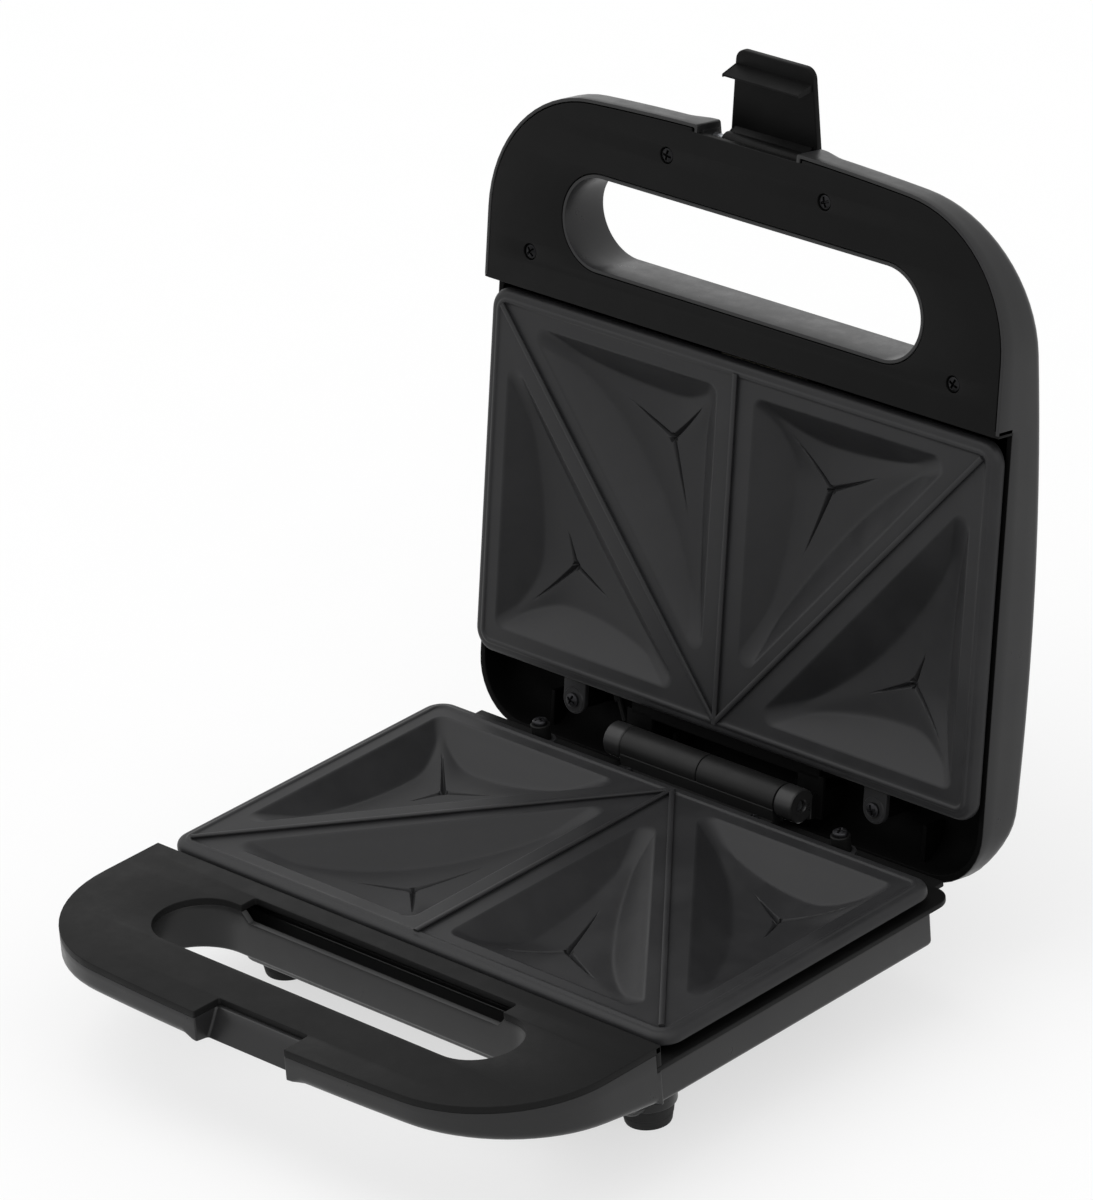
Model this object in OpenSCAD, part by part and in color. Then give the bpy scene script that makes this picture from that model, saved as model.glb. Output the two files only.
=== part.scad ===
// Two-slice sandwich toaster, shown with its lid open on its stop.
// Everything is drawn with the lid shut: the hinge axis is y = 0, z = 0, the
// handle points to -Y and the two halves meet at z = 0. The lid is then turned
// back about the hinge and the whole part is stood on its feet.

/* [Housings] */
// Width of both housings
width = 230; // [220:1:250]
// From the hinge axis to the front of the handles
reach = 220; // [215:1:235]
// How far the front edge bows out at its middle
front_bow = 6; // [3:0.5:10]
// Radius of the front corners in plan
corner_r = 47; // [30:1:50]
// Thickness of the moulded walls
wall = 2.4; // [2:0.1:2.8]
// Thickness of the flat handle covers
cover_t = 2.5; // [2:0.1:3]
// Gap between the two handle covers when shut
cover_gap = 0.8; // [0.6:0.1:1.6]
// Depth of the handles, from their front to where the plates begin
handle_d = 74; // [72:0.5:76]
// Height of each handle at its front edge
front_h = 11.4; // [10:0.2:14]
// Width of the line of housing left around the lid's cover
cover_reveal = 1.3; // [0.8:0.1:2]
// Running gap between a cover and the housing around it
cover_clear = 0.3; // [0.2:0.05:0.5]

/* [Base] */
// Depth of the base's side walls below the parting plane
side_h = 21.6; // [20:0.2:24]
// From the parting plane down to the rim of the base's side walls
rim_drop = 7.7; // [7.4:0.1:8.4]
// Thickness of the frame that closes the base around its plate
frame_t = 1.8; // [1.4:0.1:2]
// Width of the frame under the plate's edge
frame_rim = 7; // [6.5:0.5:8]
// How far the base's walls stand back under that frame
frame_reveal = 0.6; // [0.3:0.1:1]
// From the hinge axis to the base's rear wall
rear_wall_y = 17; // [16:0.5:20]
// From the hinge axis to the rear edge of the frame
frame_rear_y = 5.5; // [4.8:0.1:7]
// Radius of the frame's rear corners
frame_corner_r = 8; // [4:1:12]
// From the hinge axis to the rear edge of the frame's flange
flange_rear_y = 1; // [0.5:0.1:4]
// From the housing's sides to the ends of that flange
flange_in = 9; // [9:1:30]
// Depth of the belly below the parting plane
belly_h = 42; // [40:0.5:48]
// From the housing's side to the side of the belly's floor
belly_in = 28; // [20:1:32]
// From the handle to the front of the belly's floor
belly_back = 12; // [8:1:16]
// From the housing's side to the top of the belly's side
belly_top_in = 7; // [5:1:10]
// How far the top of the belly's front runs on under the handle
belly_over = 1; // [0:0.5:3]

/* [Lid] */
// How far the lid reaches behind the hinge axis
lid_rear = 13; // [12:0.5:16]
// Radius of the lid's rear corners in plan
lid_rear_r = 22; // [16:1:30]
// Height of the lid's crown above the parting plane
lid_top = 28; // [27.5:0.5:34]
// From the handle's front to the highest line of the crown
crown_in = 160; // [150:1:170]
// Radius of the crown, seen from the side
crown_r = 810; // [700:10:1000]
// Radius of the lid's rear edge, seen from the side
lid_back_r = 14; // [10:1:16]
// Thickness of the ribs inside the lid's rear wall
rib_t = 1.6; // [1.2:0.1:2]
// From the hinge barrel's ends in to the inner ribs
rib_in = 7; // [5:1:12]
// From the housing's side to the outer ribs
rib_side = 30; // [26:1:34]

/* [Grip slots] */
// From the housing's side to the end of the finger slots
slot_side = 35.8; // [33:0.2:40]
// From the front of the handles to the slots
slot_in = 28.2; // [26:0.2:30]
// Width of the slots
slot_w = 31.3; // [28:0.1:32]
// Half length of the step in the base's slot
step_half = 60; // [40:1:62]
// Depth of that step
step_d = 6.6; // [4:0.2:7]
// How far the slot's rear wall stands below the base's cover in the step
step_drop = 3.2; // [2:0.2:4]

/* [Cooking plates] */
// From the housing's side to the plates' side
plate_side = 1.2; // [1:0.1:3]
// Gap between the handles and the plates
plate_gap = 2.8; // [2.6:0.1:4]
// From the hinge axis to the plates' rear edge
plate_rear = 12.8; // [12.2:0.2:14]
// Radius of the plates' corners
plate_r = 8; // [5:1:12]
// Thickness of the plates
plate_t = 2; // [1.6:0.1:2.2]
// Height of the plates' skirt
skirt_h = 5.1; // [4.6:0.1:5.4]
// Width of the sealing beads
bead_w = 3; // [2:0.2:4]
// From the plates' edge to the sealing bead
bead_in = 2; // [1:0.1:2.4]
// Height of the sealing beads
bead_h = 1.2; // [0.8:0.1:1.5]
// Gap between the beads of the two plates when shut
bead_gap = 0.6; // [0.4:0.1:1]
// Height of the plates' meeting plane above the hinge axis
mating_z = 1.2; // [1:0.1:1.6]
// Depth of the pockets at the foot of their sloping walls
pocket_d = 8; // [6:0.2:8.2]
// Further drop of the pocket's floor to its middle
pocket_fall = 2; // [1:0.2:2.2]
// Flat border between a bead and a pocket
pocket_border = 6.5; // [4:0.5:8]
// Run of the pockets' sloping walls
pocket_run = 9; // [7:0.5:11]
// From the plates' side to the middle of their rear lugs
lug_in = 45.1; // [40:0.5:50]
// Thickness of the lugs
lug_t = 2; // [1.6:0.1:2.2]
// Radius of the lugs' round ends
lug_r = 5; // [4.4:0.1:5]
// From the hinge axis to the screws of the upper plate's lugs
lug_y = 5; // [4.8:0.1:6]
// From the hinge axis to the screws of the lower plate's lugs
post_y = 9.5; // [9:0.1:10.5]
// Radius of the hole in the upper plate's lugs
lug_hole_r = 1.9; // [1.8:0.1:2.2]
// Radius of the posts that the lower plate's lugs drop over
post_r = 3.4; // [3:0.1:3.6]
// How far those posts stand above the hinge axis
post_top = 1.6; // [1:0.1:1.8]

/* [Heaters] */
// Diameter of the tubular heaters
heater_d = 6.5; // [6:0.1:6.6]
// Radius of the heaters' bend
heater_bend = 32; // [26:1:36]
// From the plates' side to the end of the heaters' straight legs
heater_in = 51.8; // [48:0.5:58]
// Thickness of the heaters' clamps
clamp_t = 0.6; // [0.5:0.1:0.8]
// Length of the heaters' clamps along the tube
clamp_len = 8; // [6:1:12]
// Length of the heaters' cold pins
pin_len = 14; // [8:1:16]
// Diameter of the cold pins
pin_d = 3; // [2:0.5:4]
// Thickness of the heat reflectors
reflector_t = 0.5; // [0.4:0.1:0.6]
// From the plates' side to the reflectors' side
reflector_in = 15.8; // [14.8:0.2:20]
// From the plates' front to the reflectors' front
reflector_back = 25.2; // [24.2:0.2:27]
// From the plates' rear to the reflectors' rear
reflector_rear_in = 13.2; // [12:0.2:16]

/* [Hinge] */
// Radius of the hinge barrel
barrel_r = 6; // [5:0.2:6.4]
// Half length of the barrel
barrel_half = 35; // [28:1:40]
// Width of the lid's hinge ears
ear_w = 7.5; // [5:0.5:10]
// How far the ears' tabs stand above the hinge axis when the lid is open
ear_tab = 9; // [8:0.2:10]
// Height of the bar that joins the two tabs above the barrel
bar_h = 2.6; // [1:0.2:3.4]
// Side gap between the barrel and the ears
ear_gap = 0.4; // [0.3:0.05:0.8]
// Radius of the hinge pin
pin_r = 2; // [1.5:0.1:2.5]
// Radial clearance around the hinge pin
pin_clear = 0.05; // [0.02:0.01:0.09]
// Thickness of the barrel's foot on the frame
hinge_foot_t = 2.2; // [2:0.1:2.4]
// Half distance between the hinge's screws
hinge_screw_x = 29; // [24:0.5:31]
// From the hinge axis to the hinge's screws
hinge_screw_y = 9.9; // [9.8:0.1:10]
// How far the lid opens, in degrees
lid_open = 100; // [90:1:104]

/* [Latch] */
// Half width of the latch at its pivot
latch_half = 19.3; // [16:0.1:19.8]
// Half width of the latch at its tip
latch_tip_half = 16.8; // [12:0.1:17]
// Length of the latch from its pivot to its tip
latch_len = 30.5; // [29:0.5:33]
// Radius of the corners at its tip
latch_corner_r = 4; // [3:0.5:6]
// How much narrower its barrel is, on each side
latch_step = 2; // [1.5:0.1:2.5]
// Thickness of the latch
latch_t = 2.6; // [2:0.1:3]
// How far the latch plate lies in front of its pivot
latch_crank = 4.5; // [4:0.1:5]
// From the front of the handles back to the pivot
pivot_back = 5.5; // [5.2:0.1:6.5]
// Height of the pivot above the parting plane
pivot_z = 9.5; // [8.5:0.1:10]
// Radius of the latch's pin
latch_pin_r = 1.5; // [1:0.1:2]
// Radius of the barrel around that pin
latch_eye_r = 3; // [2.8:0.1:3.2]
// Length of the hook
hook_len = 6.5; // [5:0.1:7]
// Thickness of the hook
hook_t = 2; // [1.5:0.1:2.5]
// How far the hook's tip rises towards the pivot
hook_rise = 0.8; // [0.4:0.1:1]
// Gap between the hook and the ledge that it catches
hook_gap = 0.45; // [0.35:0.05:0.8]
// How far the latch swings between open and shut, in degrees
latch_swing = 85; // [75:1:88]
// Half width of the latch's notch in the lid
lid_notch_half = 22; // [21:0.1:24]
// Depth of that notch in the lid's cover
cover_notch_d = 3; // [2.5:0.1:4]
// Depth of the latch's well in the lid's housing
well_d = 10.5; // [10:0.1:12]
// Half width of the notch in the base
base_notch_half = 20.5; // [20:0.1:23]
// Depth of the base's notch at its top
base_notch_d = 11.6; // [10:0.2:13]
// Depth of the base's notch at the ledge
ledge_d = 5.2; // [4.6:0.1:6]

/* [Fasteners] */
// Radius of the screws' shanks
screw_r = 1.5; // [1.2:0.1:1.6]
// Radius of the screws' heads
head_r = 2.6; // [2.4:0.1:2.8]
// Height of the screws' heads
head_h = 1.8; // [1.5:0.1:2.2]
// Radial clearance around a shank
shank_clear = 0.2; // [0.15:0.05:0.3]
// Radius of the screw bosses
boss_r = 4; // [3.6:0.1:4.4]
// Length of the handle screws' shanks
handle_screw = 6.5; // [6:0.5:7]
// Length of the plate screws' shanks
plate_screw = 9; // [8:0.5:10]
// Length of the hinge screws' shanks
hinge_screw = 5.5; // [5:0.5:6]
// Height of the posts under the base's cover
post_h = 4; // [3.5:0.1:4.5]
// Gap between those posts and the bosses below them
boss_gap = 0.3; // [0.2:0.05:0.4]
// Thickness of the bosses under the screws' heads
seat_floor = 3; // [2.5:0.1:3.5]
// Depth of the lid cover's recesses for the screws' heads
cover_sink = 1.9; // [1.8:0.1:1.9]
// Half distance between the front handle screws
screw_front_x = 35; // [30:1:45]
// From the front of the handles to the front handle screws
screw_front_in = 13.6; // [12:0.2:15]
// From the housing's side to the rear handle screws
screw_side = 20.5; // [18:0.5:23]
// From the plates' end of the handles to the rear handle screws
screw_rear_in = 13.4; // [11:0.2:16]

/* [Feet] */
// Height of the feet below the belly
foot_h = 7.3; // [5:0.1:10]
// Radius of the feet
foot_r = 9; // [7:0.5:10]
// Radius of the feet's stems in the belly's floor
foot_stem_r = 2.5; // [2:0.1:3]
// From the sides of the belly's floor to the middle of the front feet
foot_in = 4; // [2:0.5:16]
// From the sides of the belly's floor to the middle of the rear feet
foot_rear_side = 21; // [10:0.5:30]
// Width of the rim that the front feet's bosses leave round the feet
foot_rim = 1; // [0.4:0.1:3]
// Height of the front feet's bosses, up the belly's sloping side
foot_boss_h = 8; // [6:0.5:12]
// From the front of the belly's floor to the middle of the front feet
foot_front_in = 12; // [11:0.5:20]
// From the rear of the belly's floor to the middle of the rear feet
foot_rear_in = 10; // [9.5:0.5:24]

/* [Electrics] */
// Radius of the mains lead's hole in the gland
gland_r = 3.6; // [3:0.1:4]
// Length of the gland's bore
gland_len = 16; // [12:1:18]
// Sideways place of the gland
gland_x = -55; // [-70:1:-50]
// Height of the gland's axis below the parting plane
gland_z = 31; // [30:0.5:32]
// Radius of the lamp lenses
lens_r = 3.2; // [2.5:0.1:4]
// Radius of the lamps
lamp_r = 2.6; // [2:0.1:3]
// Half distance between the two lamps
lens_x = 9; // [7:0.5:14]
// From the plates' end of the handles back to the lamps
lens_in = 10; // [8:0.5:13]
// Height of the lamps
lamp_h = 6.4; // [5:0.1:7]
// From the heaters' ends to where the base's leads rise
lead_run = 20; // [14:1:24]
// Radius of the internal leads
wire_r = 1.1; // [0.8:0.1:1.3]
// Radius of the base's thermostat
stat_r = 8; // [7:0.5:9]
// Height of the base's thermostat
stat_h = 7; // [5:0.5:7.5]
// Radius of the lid's thermostat
lid_stat_r = 5.5; // [5:0.1:5.6]
// Length of each of the thermostat's ears
stat_ear = 6; // [4:0.5:8]
// From the middle to the thermal fuse
fuse_x = 40; // [34:1:46]
// Length of each of the fuse's leads
fuse_lead = 6; // [4:0.5:9]
// Radius of the thermal fuse
fuse_r = 2.6; // [2:0.1:3]
// Length of the thermal fuse
fuse_len = 16; // [12:1:18]
// From the belly's rear wall to the terminal block
term_in = 50; // [40:1:56]
// Pitch of the terminals
term_pitch = 12; // [11:0.5:12]
// Depth of the terminal block
term_d = 18; // [16:1:18]
// Height of the terminal block
term_h = 11; // [10:0.5:12]

/* [Hidden] */
$fn = 96;
FINE = 1440;
EPS = 0.01;
CUT = 60;
GRIP = 0.3;

bow_r = width * width / (8 * front_bow);
cover_z = cover_gap / 2;
cover_back = cover_z + cover_t;
frame_bottom = rim_drop + frame_t;
lower_z = mating_z - bead_gap / 2;
upper_z = mating_z + bead_gap / 2;
land_z = bead_h;
pocket_z = land_z + pocket_d + pocket_fall;
heater_z = pocket_z + plate_t + GRIP + heater_d / 2;
reflector_z = heater_z + heater_d / 2 + clamp_t + 2 * GRIP;
neck_y = reach - handle_d;
belly_half = width / 2 - belly_in;
belly_front = neck_y - belly_back;
belly_rear = rear_wall_y + wall + 0.6;
slot_half = width / 2 - slot_side;
slot_front = reach - slot_in;
slot_rear = slot_front - slot_w;
plate_half = width / 2 - plate_side;
plate_front = neck_y - plate_gap;
lug_x = plate_half - lug_in;
heater_y = (plate_front + plate_rear) / 2;
heater_leg = plate_half - heater_in;
reflector_half = plate_half - reflector_in;
reflector_front = plate_front - reflector_back;
reflector_rear = plate_rear + reflector_rear_in;
screw_front_y = reach - screw_front_in;
screw_rear_x = width / 2 - screw_side;
screw_rear_y = neck_y + screw_rear_in;
foot_x = belly_half - foot_in;
foot_rear_x = belly_half - foot_rear_side;
foot_front = belly_front - foot_front_in;
foot_rear = belly_rear + foot_rear_in;
lens_y = neck_y - lens_in;
rib_in_x = barrel_half - rib_in;
rib_out_x = width / 2 - rib_side;
lead_x = reflector_half + wire_r + 2;
post_hole_r = post_r + 2 * GRIP / 3;
pivot_y = -reach + pivot_back;
latch_in = pivot_y - latch_crank;
crown_y = reach - crown_in;
under_slope = (side_h - front_h) / (reach - neck_y);
ledge_z = -front_h - ledge_d * under_slope;
hook_top = ledge_z - hook_gap - (hook_len + latch_in + reach - ledge_d) * under_slope;
foot_z = -belly_h - foot_h;
term_x = gland_x - 1;
term_y = belly_rear + term_in;
seat_z = -cover_back - post_h - seat_floor;

// Turning a point of the shut lid back with the lid
function turn(y, z, a) = [y * cos(a) - z * sin(a), y * sin(a) + z * cos(a)];
tip = turn(-latch_crank - latch_t, -latch_len, -latch_swing);
tip_open = turn(pivot_y + tip[0], pivot_z + tip[1], -lid_open);
front_edge = reach - bow_r + sqrt(bow_r * bow_r - base_notch_half * base_notch_half);
origin_y = (front_edge - tip_open[0]) / 2;

// Placing the three bodies
module stand() { translate([0, origin_y, -foot_z]) children(); }
module on_lid() { stand() rotate([-lid_open, 0, 0]) children(); }
module on_latch() {
    on_lid() translate([0, pivot_y, pivot_z]) rotate([-latch_swing, 0, 0])
        translate([0, -pivot_y, -pivot_z]) children();
}

// A side view, drawn in Y and Z, made solid across X
module across(half) { rotate([90, 0, 90]) linear_extrude(2 * half, center = true) children(); }
// An insulated lead along its points: one ring of sides at each, square to the way it runs
function unit(v) = v / norm(v);
function heading(p, i) = unit(unit(p[min(i + 1, len(p) - 1)] - p[min(i, len(p) - 2)])
    + unit(p[max(i, 1)] - p[max(i - 1, 0)]));
function ring(c, h, r, n) = let (
        a = unit(cross(h, abs(h[2]) < 0.8 ? [0, 0, 1] : [1, 0, 0])), b = cross(h, a)
    ) [for (k = [0 : n - 1]) c + r * (cos(360 * k / n) * a + sin(360 * k / n) * b)];
module lead(p, r = wire_r, n = 8) {
    m = len(p);
    polyhedron(
        points = [for (i = [0 : m - 1]) each ring(p[i], heading(p, i), r, n)],
        faces = [[for (k = [0 : n - 1]) k],
                 for (i = [0 : m - 2], k = [0 : n - 1])
                     [i * n + k, (i + 1) * n + k, (i + 1) * n + (k + 1) % n, i * n + (k + 1) % n],
                 [for (k = [n - 1 : -1 : 0]) (m - 1) * n + k]]);
}
module both() { children(); mirror([1, 0, 0]) children(); }

// Plan of a handle from its bowed front to y = back, all edges moved in by t
module handle_plan(back, t = 0) {
    w = width / 2 - t;
    r = corner_r - t;
    big = bow_r - t;
    cx = w - r;
    cy = -reach + bow_r - sqrt((big - r) * (big - r) - cx * cx);
    tx = cx * big / (big - r);
    intersection() {
        translate([0, -reach + bow_r]) circle(big, $fn = FINE);
        translate([-tx, -reach]) square([2 * tx, cy + reach]);
    }
    intersection() {
        for (s = [-1, 1]) translate([s * cx, cy]) circle(r);
        translate([-w, cy - r - 1]) square([2 * w, r + 2]);
    }
    translate([-w, cy]) square([2 * w, back - cy]);
}

// Plan of a finger slot, grown by t
module slot_plan(t = 0) {
    r = (slot_front - slot_rear) / 2 + t;
    mid = -(slot_front + slot_rear) / 2;
    for (s = [-1, 1]) translate([s * (slot_half + t - r), mid]) circle(r);
    translate([-(slot_half + t - r), mid - r]) square([2 * (slot_half + t - r), 2 * r]);
}

module screw_places() {
    for (s = [-1, 1]) {
        translate([s * screw_front_x, -screw_front_y, 0]) children();
        translate([s * screw_rear_x, -screw_rear_y, 0]) children();
    }
}
function under(y) = -front_h - (y + reach) * under_slope;

// Base

// Side view of the space that the base's handle fills, less t at the bottom
module handle_side(top, t = 0) {
    polygon([[-reach - 1, top], [-reach - 1, under(-reach - 1) + t], [-neck_y, -side_h + t],
             [-rear_wall_y, -side_h + t], [-rear_wall_y, top]]);
}
// The belly, its walls moved in by t
module belly(t) {
    top = -side_h + t + EPS;
    floor_z = -belly_h + t;
    back = -belly_rear - t;
    a = width / 2 - belly_top_in - t;
    b = belly_half - t;
    f1 = -neck_y - belly_over + t;
    f2 = -belly_front + t;
    polyhedron(
        points = [[-a, f1, top], [a, f1, top], [a, back, top], [-a, back, top],
                  [-b, f2, floor_z], [b, f2, floor_z], [b, back, floor_z], [-b, back, floor_z]],
        faces = [[3, 2, 1, 0], [4, 5, 6, 7], [0, 1, 5, 4], [1, 2, 6, 5], [2, 3, 7, 6], [3, 0, 4, 7]]);
}
// Where the feet stand: the front pair, or the rear one
module front_feet() { for (s = [-1, 1]) translate([s * foot_x, -foot_front, 0]) children(); }
module rear_feet() { for (s = [-1, 1]) translate([s * foot_rear_x, -foot_rear, 0]) children(); }
module pan_body(t, top) {
    w = width / 2 - t;
    intersection() {
        across(width) handle_side(top, t);
        translate([0, 0, -CUT]) linear_extrude(2 * CUT) handle_plan(-neck_y + t, t);
    }
    intersection() {
        across(width) handle_side(-frame_bottom + t, t);
        translate([-w + frame_reveal, -neck_y - t, -CUT])
            cube([2 * (w - frame_reveal), neck_y - rear_wall_y, 2 * CUT]);
    }
    belly(t);
}
module base_notch(extra = 0) {
    across(base_notch_half + extra) polygon([
        [-reach - 5, 5], [-reach + base_notch_d + extra, 5], [-reach + base_notch_d + extra, -cover_z],
        [-reach + ledge_d + extra, ledge_z], [-reach + ledge_d + extra, -CUT], [-reach - 5, -CUT]]);
}
module base_pan() {
    top = -cover_back;
    color("#35363a") difference() {
        union() {
            difference() {
                union() {
                    pan_body(0, top);
                    front_feet() translate([0, 0, -belly_h]) cylinder(h = foot_boss_h, r = foot_r + foot_rim);
                }
                translate([0, 0, EPS]) pan_body(wall, top + 1);
                translate([-width, -neck_y - wall, -frame_bottom]) cube([2 * width, neck_y, CUT]);
            }
            intersection() {
                pan_body(0, top);
                union() {
                    translate([0, 0, -CUT]) linear_extrude(CUT + top) slot_plan(wall);
                    base_notch(wall);
                    screw_places() translate([0, 0, -CUT])
                        cylinder(h = CUT + top - boss_gap - post_h, r = boss_r);
                }
            }
            translate([-barrel_half, -rear_wall_y - wall, -side_h + wall])
                cube([2 * barrel_half, rear_wall_y + wall - frame_rear_y - 0.5,
                      side_h - wall - frame_bottom]);
        }
        translate([0, 0, -CUT]) linear_extrude(2 * CUT) slot_plan();
        translate([-step_half, -slot_rear - wall, top - step_drop])
            cube([2 * step_half, 2 * wall + step_d, CUT]);
        base_notch();
        screw_places() {
            translate([0, 0, -CUT]) cylinder(h = CUT, r = screw_r + shank_clear);
            translate([0, 0, -CUT]) cylinder(h = CUT + seat_z, r = head_r + 0.6);
        }
        translate([-barrel_half + wall, -rear_wall_y - 2 * wall, -side_h + 2 * wall])
            cube([2 * (barrel_half - wall), rear_wall_y - frame_rear_y + wall,
                  side_h - frame_bottom - 3 * wall]);
        translate([gland_x, -belly_rear - 2 * wall, -gland_z]) rotate([-90, 0, 0])
            cylinder(h = 3 * wall, r = gland_r + 3.2 + 0.1);
        hinge_screw_places() translate([0, 0, -frame_bottom - wall - 1])
            cylinder(h = wall + 2, r = screw_r + pin_clear);
        front_feet() translate([0, 0, -belly_h - 1]) cylinder(h = wall + 2, r = foot_stem_r + pin_clear);
        rear_feet() translate([0, 0, -belly_h - 1]) cylinder(h = wall + 2, r = foot_stem_r + pin_clear);
    }
}
module base_deck() {
    color("#2b2c30") difference() {
        union() {
            translate([0, 0, -cover_back]) linear_extrude(cover_t) handle_plan(-neck_y);
            translate([-width / 2, -neck_y - wall, -rim_drop]) cube([width, wall, rim_drop - cover_z]);
            screw_places() translate([0, 0, -cover_back - post_h]) cylinder(h = post_h + EPS, r = boss_r);
        }
        translate([0, 0, -CUT]) linear_extrude(2 * CUT) slot_plan();
        translate([-step_half, -slot_rear - wall, -cover_back - 1]) cube([2 * step_half, wall + step_d, CUT]);
        base_notch();
        screw_places() translate([0, 0, -cover_back - post_h - 1])
            cylinder(h = post_h + 2, r = screw_r + pin_clear);
    }
}
module base_frame() {
    w = width / 2;
    r = frame_corner_r;
    color("#222226") difference() {
        union() {
            translate([0, 0, -frame_bottom]) linear_extrude(frame_t) {
                translate([-w, -neck_y - wall]) square([2 * w, neck_y + wall - frame_rear_y - r]);
                translate([-w + r, -neck_y - wall]) square([2 * (w - r), neck_y + wall - frame_rear_y]);
                for (s = [-1, 1]) translate([s * (w - r), -frame_rear_y - r]) circle(r);
                translate([-w + flange_in, -frame_rear_y - 1])
                    square([2 * (w - flange_in), frame_rear_y + 1 - flange_rear_y]);
            }
            for (s = [-1, 1]) translate([s * lug_x, -post_y, -frame_bottom]) {
                cylinder(h = frame_bottom + post_top, r = post_r);
                cylinder(h = frame_bottom + lower_z - skirt_h - lug_t - GRIP, r = lug_r);
            }
            for (s = [-1, 1]) translate([s * lug_x - boss_r, -plate_front, -frame_bottom])
                cube([2 * boss_r, frame_rim, frame_bottom + lower_z - skirt_h - GRIP]);
        }
        translate([-plate_half + frame_rim, -plate_front + frame_rim, -CUT])
            cube([2 * (plate_half - frame_rim), plate_front - plate_rear - 2 * frame_rim, CUT]);
        for (s = [-1, 1]) translate([s * lug_x, -post_y, -CUT])
            cylinder(h = 2 * CUT, r = screw_r + pin_clear);
        hinge_screw_places() translate([0, 0, -CUT]) cylinder(h = CUT, r = screw_r + pin_clear);
    }
}
module hinge_screw_places() {
    for (s = [-1, 1]) translate([s * hinge_screw_x, -hinge_screw_y, 0]) children();
}
module screw(length) {
    intersection() {
        cylinder(h = head_h, r = head_r);
        translate([0, 0, head_h - 6]) sphere(6);
    }
    translate([0, 0, -length]) cylinder(h = length + EPS, r = screw_r);
}
module hinge_screws() {
    color("#8a8d92") hinge_screw_places() translate([0, 0, hinge_foot_t - rim_drop + pin_clear])
        screw(hinge_screw);
}
module base_screws() {
    color("#8a8d92") screw_places() translate([0, 0, seat_z - pin_clear])
        mirror([0, 0, 1]) screw(handle_screw);
}
module hinge_barrel() {
    seam = 0.5;
    color("#26262a") difference() {
        union() {
            rotate([0, 90, 0]) cylinder(h = 2 * barrel_half, r = barrel_r, center = true);
            translate([-barrel_half, -barrel_r, -rim_drop]) cube([2 * barrel_half, barrel_r - 1, rim_drop]);
            translate([-barrel_half, -plate_rear - 1, -rim_drop])
                cube([2 * barrel_half, plate_rear + 1 - frame_rear_y, hinge_foot_t]);
        }
        rotate([0, 90, 0]) cylinder(h = 3 * barrel_half, r = pin_r + pin_clear, center = true);
        rotate([0, 90, 0]) difference() {
            cylinder(h = seam, r = barrel_r + 1, center = true);
            cylinder(h = 2 * seam, r = barrel_r - seam, center = true);
        }
        hinge_screw_places() translate([0, 0, -rim_drop - 1])
            cylinder(h = hinge_foot_t + 2, r = screw_r + pin_clear);
    }
}
module hinge_pin() {
    half = barrel_half + ear_gap + ear_w - 1.2;
    color("#b9bcc0") rotate([0, 90, 0]) cylinder(h = 2 * half, r = pin_r, center = true);
}
module plate_posts() {
    color("#8a8d92") for (s = [-1, 1]) translate([s * lug_x, -post_y, post_top + pin_clear])
        screw(plate_screw);
}

// Cooking plates, drawn facing -Z with the tips of their beads at z = 0

// A triangle moved in by d on all three sides
function side(a, b) = norm(b - a);
function tri_in(t, d) = let (
        a = side(t[1], t[2]), b = side(t[2], t[0]), c = side(t[0], t[1]), p = a + b + c,
        m = (a * t[0] + b * t[1] + c * t[2]) / p,
        s = p / 2, r = sqrt(s * (s - a) * (s - b) * (s - c)) / s
    ) [for (v = t) m + (v - m) * (r - d) / r];
function tri_mid(t) = let (
        a = side(t[1], t[2]), b = side(t[2], t[0]), c = side(t[0], t[1])
    ) (a * t[0] + b * t[1] + c * t[2]) / (a + b + c);
mid_b = bead_w / 2;
inner_tri = [[mid_b, -plate_front + bead_w], [plate_half - bead_w, -plate_front + bead_w],
             [mid_b, -plate_rear - bead_w]];
outer_tri = [[plate_half - bead_w, -plate_front + bead_w], [plate_half - bead_w, -plate_rear - bead_w],
             [mid_b, -plate_rear - bead_w]];

// A pocket whose walls lie g outside the cooking surface and whose floor lies g further back
module pocket(tri, g) {
    a = tri_in(tri, pocket_border - g);
    b = tri_in(tri, pocket_border + pocket_run - g);
    m = tri_mid(tri);
    z1 = land_z - (g > 0 ? 0 : 1);
    k = (g > 0 ? 0 : 1) / pocket_d;
    c = [for (i = [0 : 2]) a[i] + (a[i] - b[i]) * k];
    z2 = land_z + pocket_d + g;
    z3 = pocket_z + g;
    polyhedron(
        points = [for (v = c) [v[0], v[1], z1], for (v = b) [v[0], v[1], z2], [m[0], m[1], z3]],
        faces = [[0, 1, 2], [0, 3, 4, 1], [1, 4, 5, 2], [2, 5, 3, 0], [3, 6, 4], [4, 6, 5], [5, 6, 3]]);
}
module plate_plan(t) {
    h = plate_half - t;
    r = max(plate_r - t, 1);
    x = h - r;
    f = -plate_front + t + r;
    b = -plate_rear - t - r;
    for (sx = [-x, x], sy = [f, b]) translate([sx, sy]) circle(r);
    translate([-h, f]) square([2 * h, b - f]);
    translate([-x, f - r]) square([2 * x, b - f + 2 * r]);
}
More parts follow.
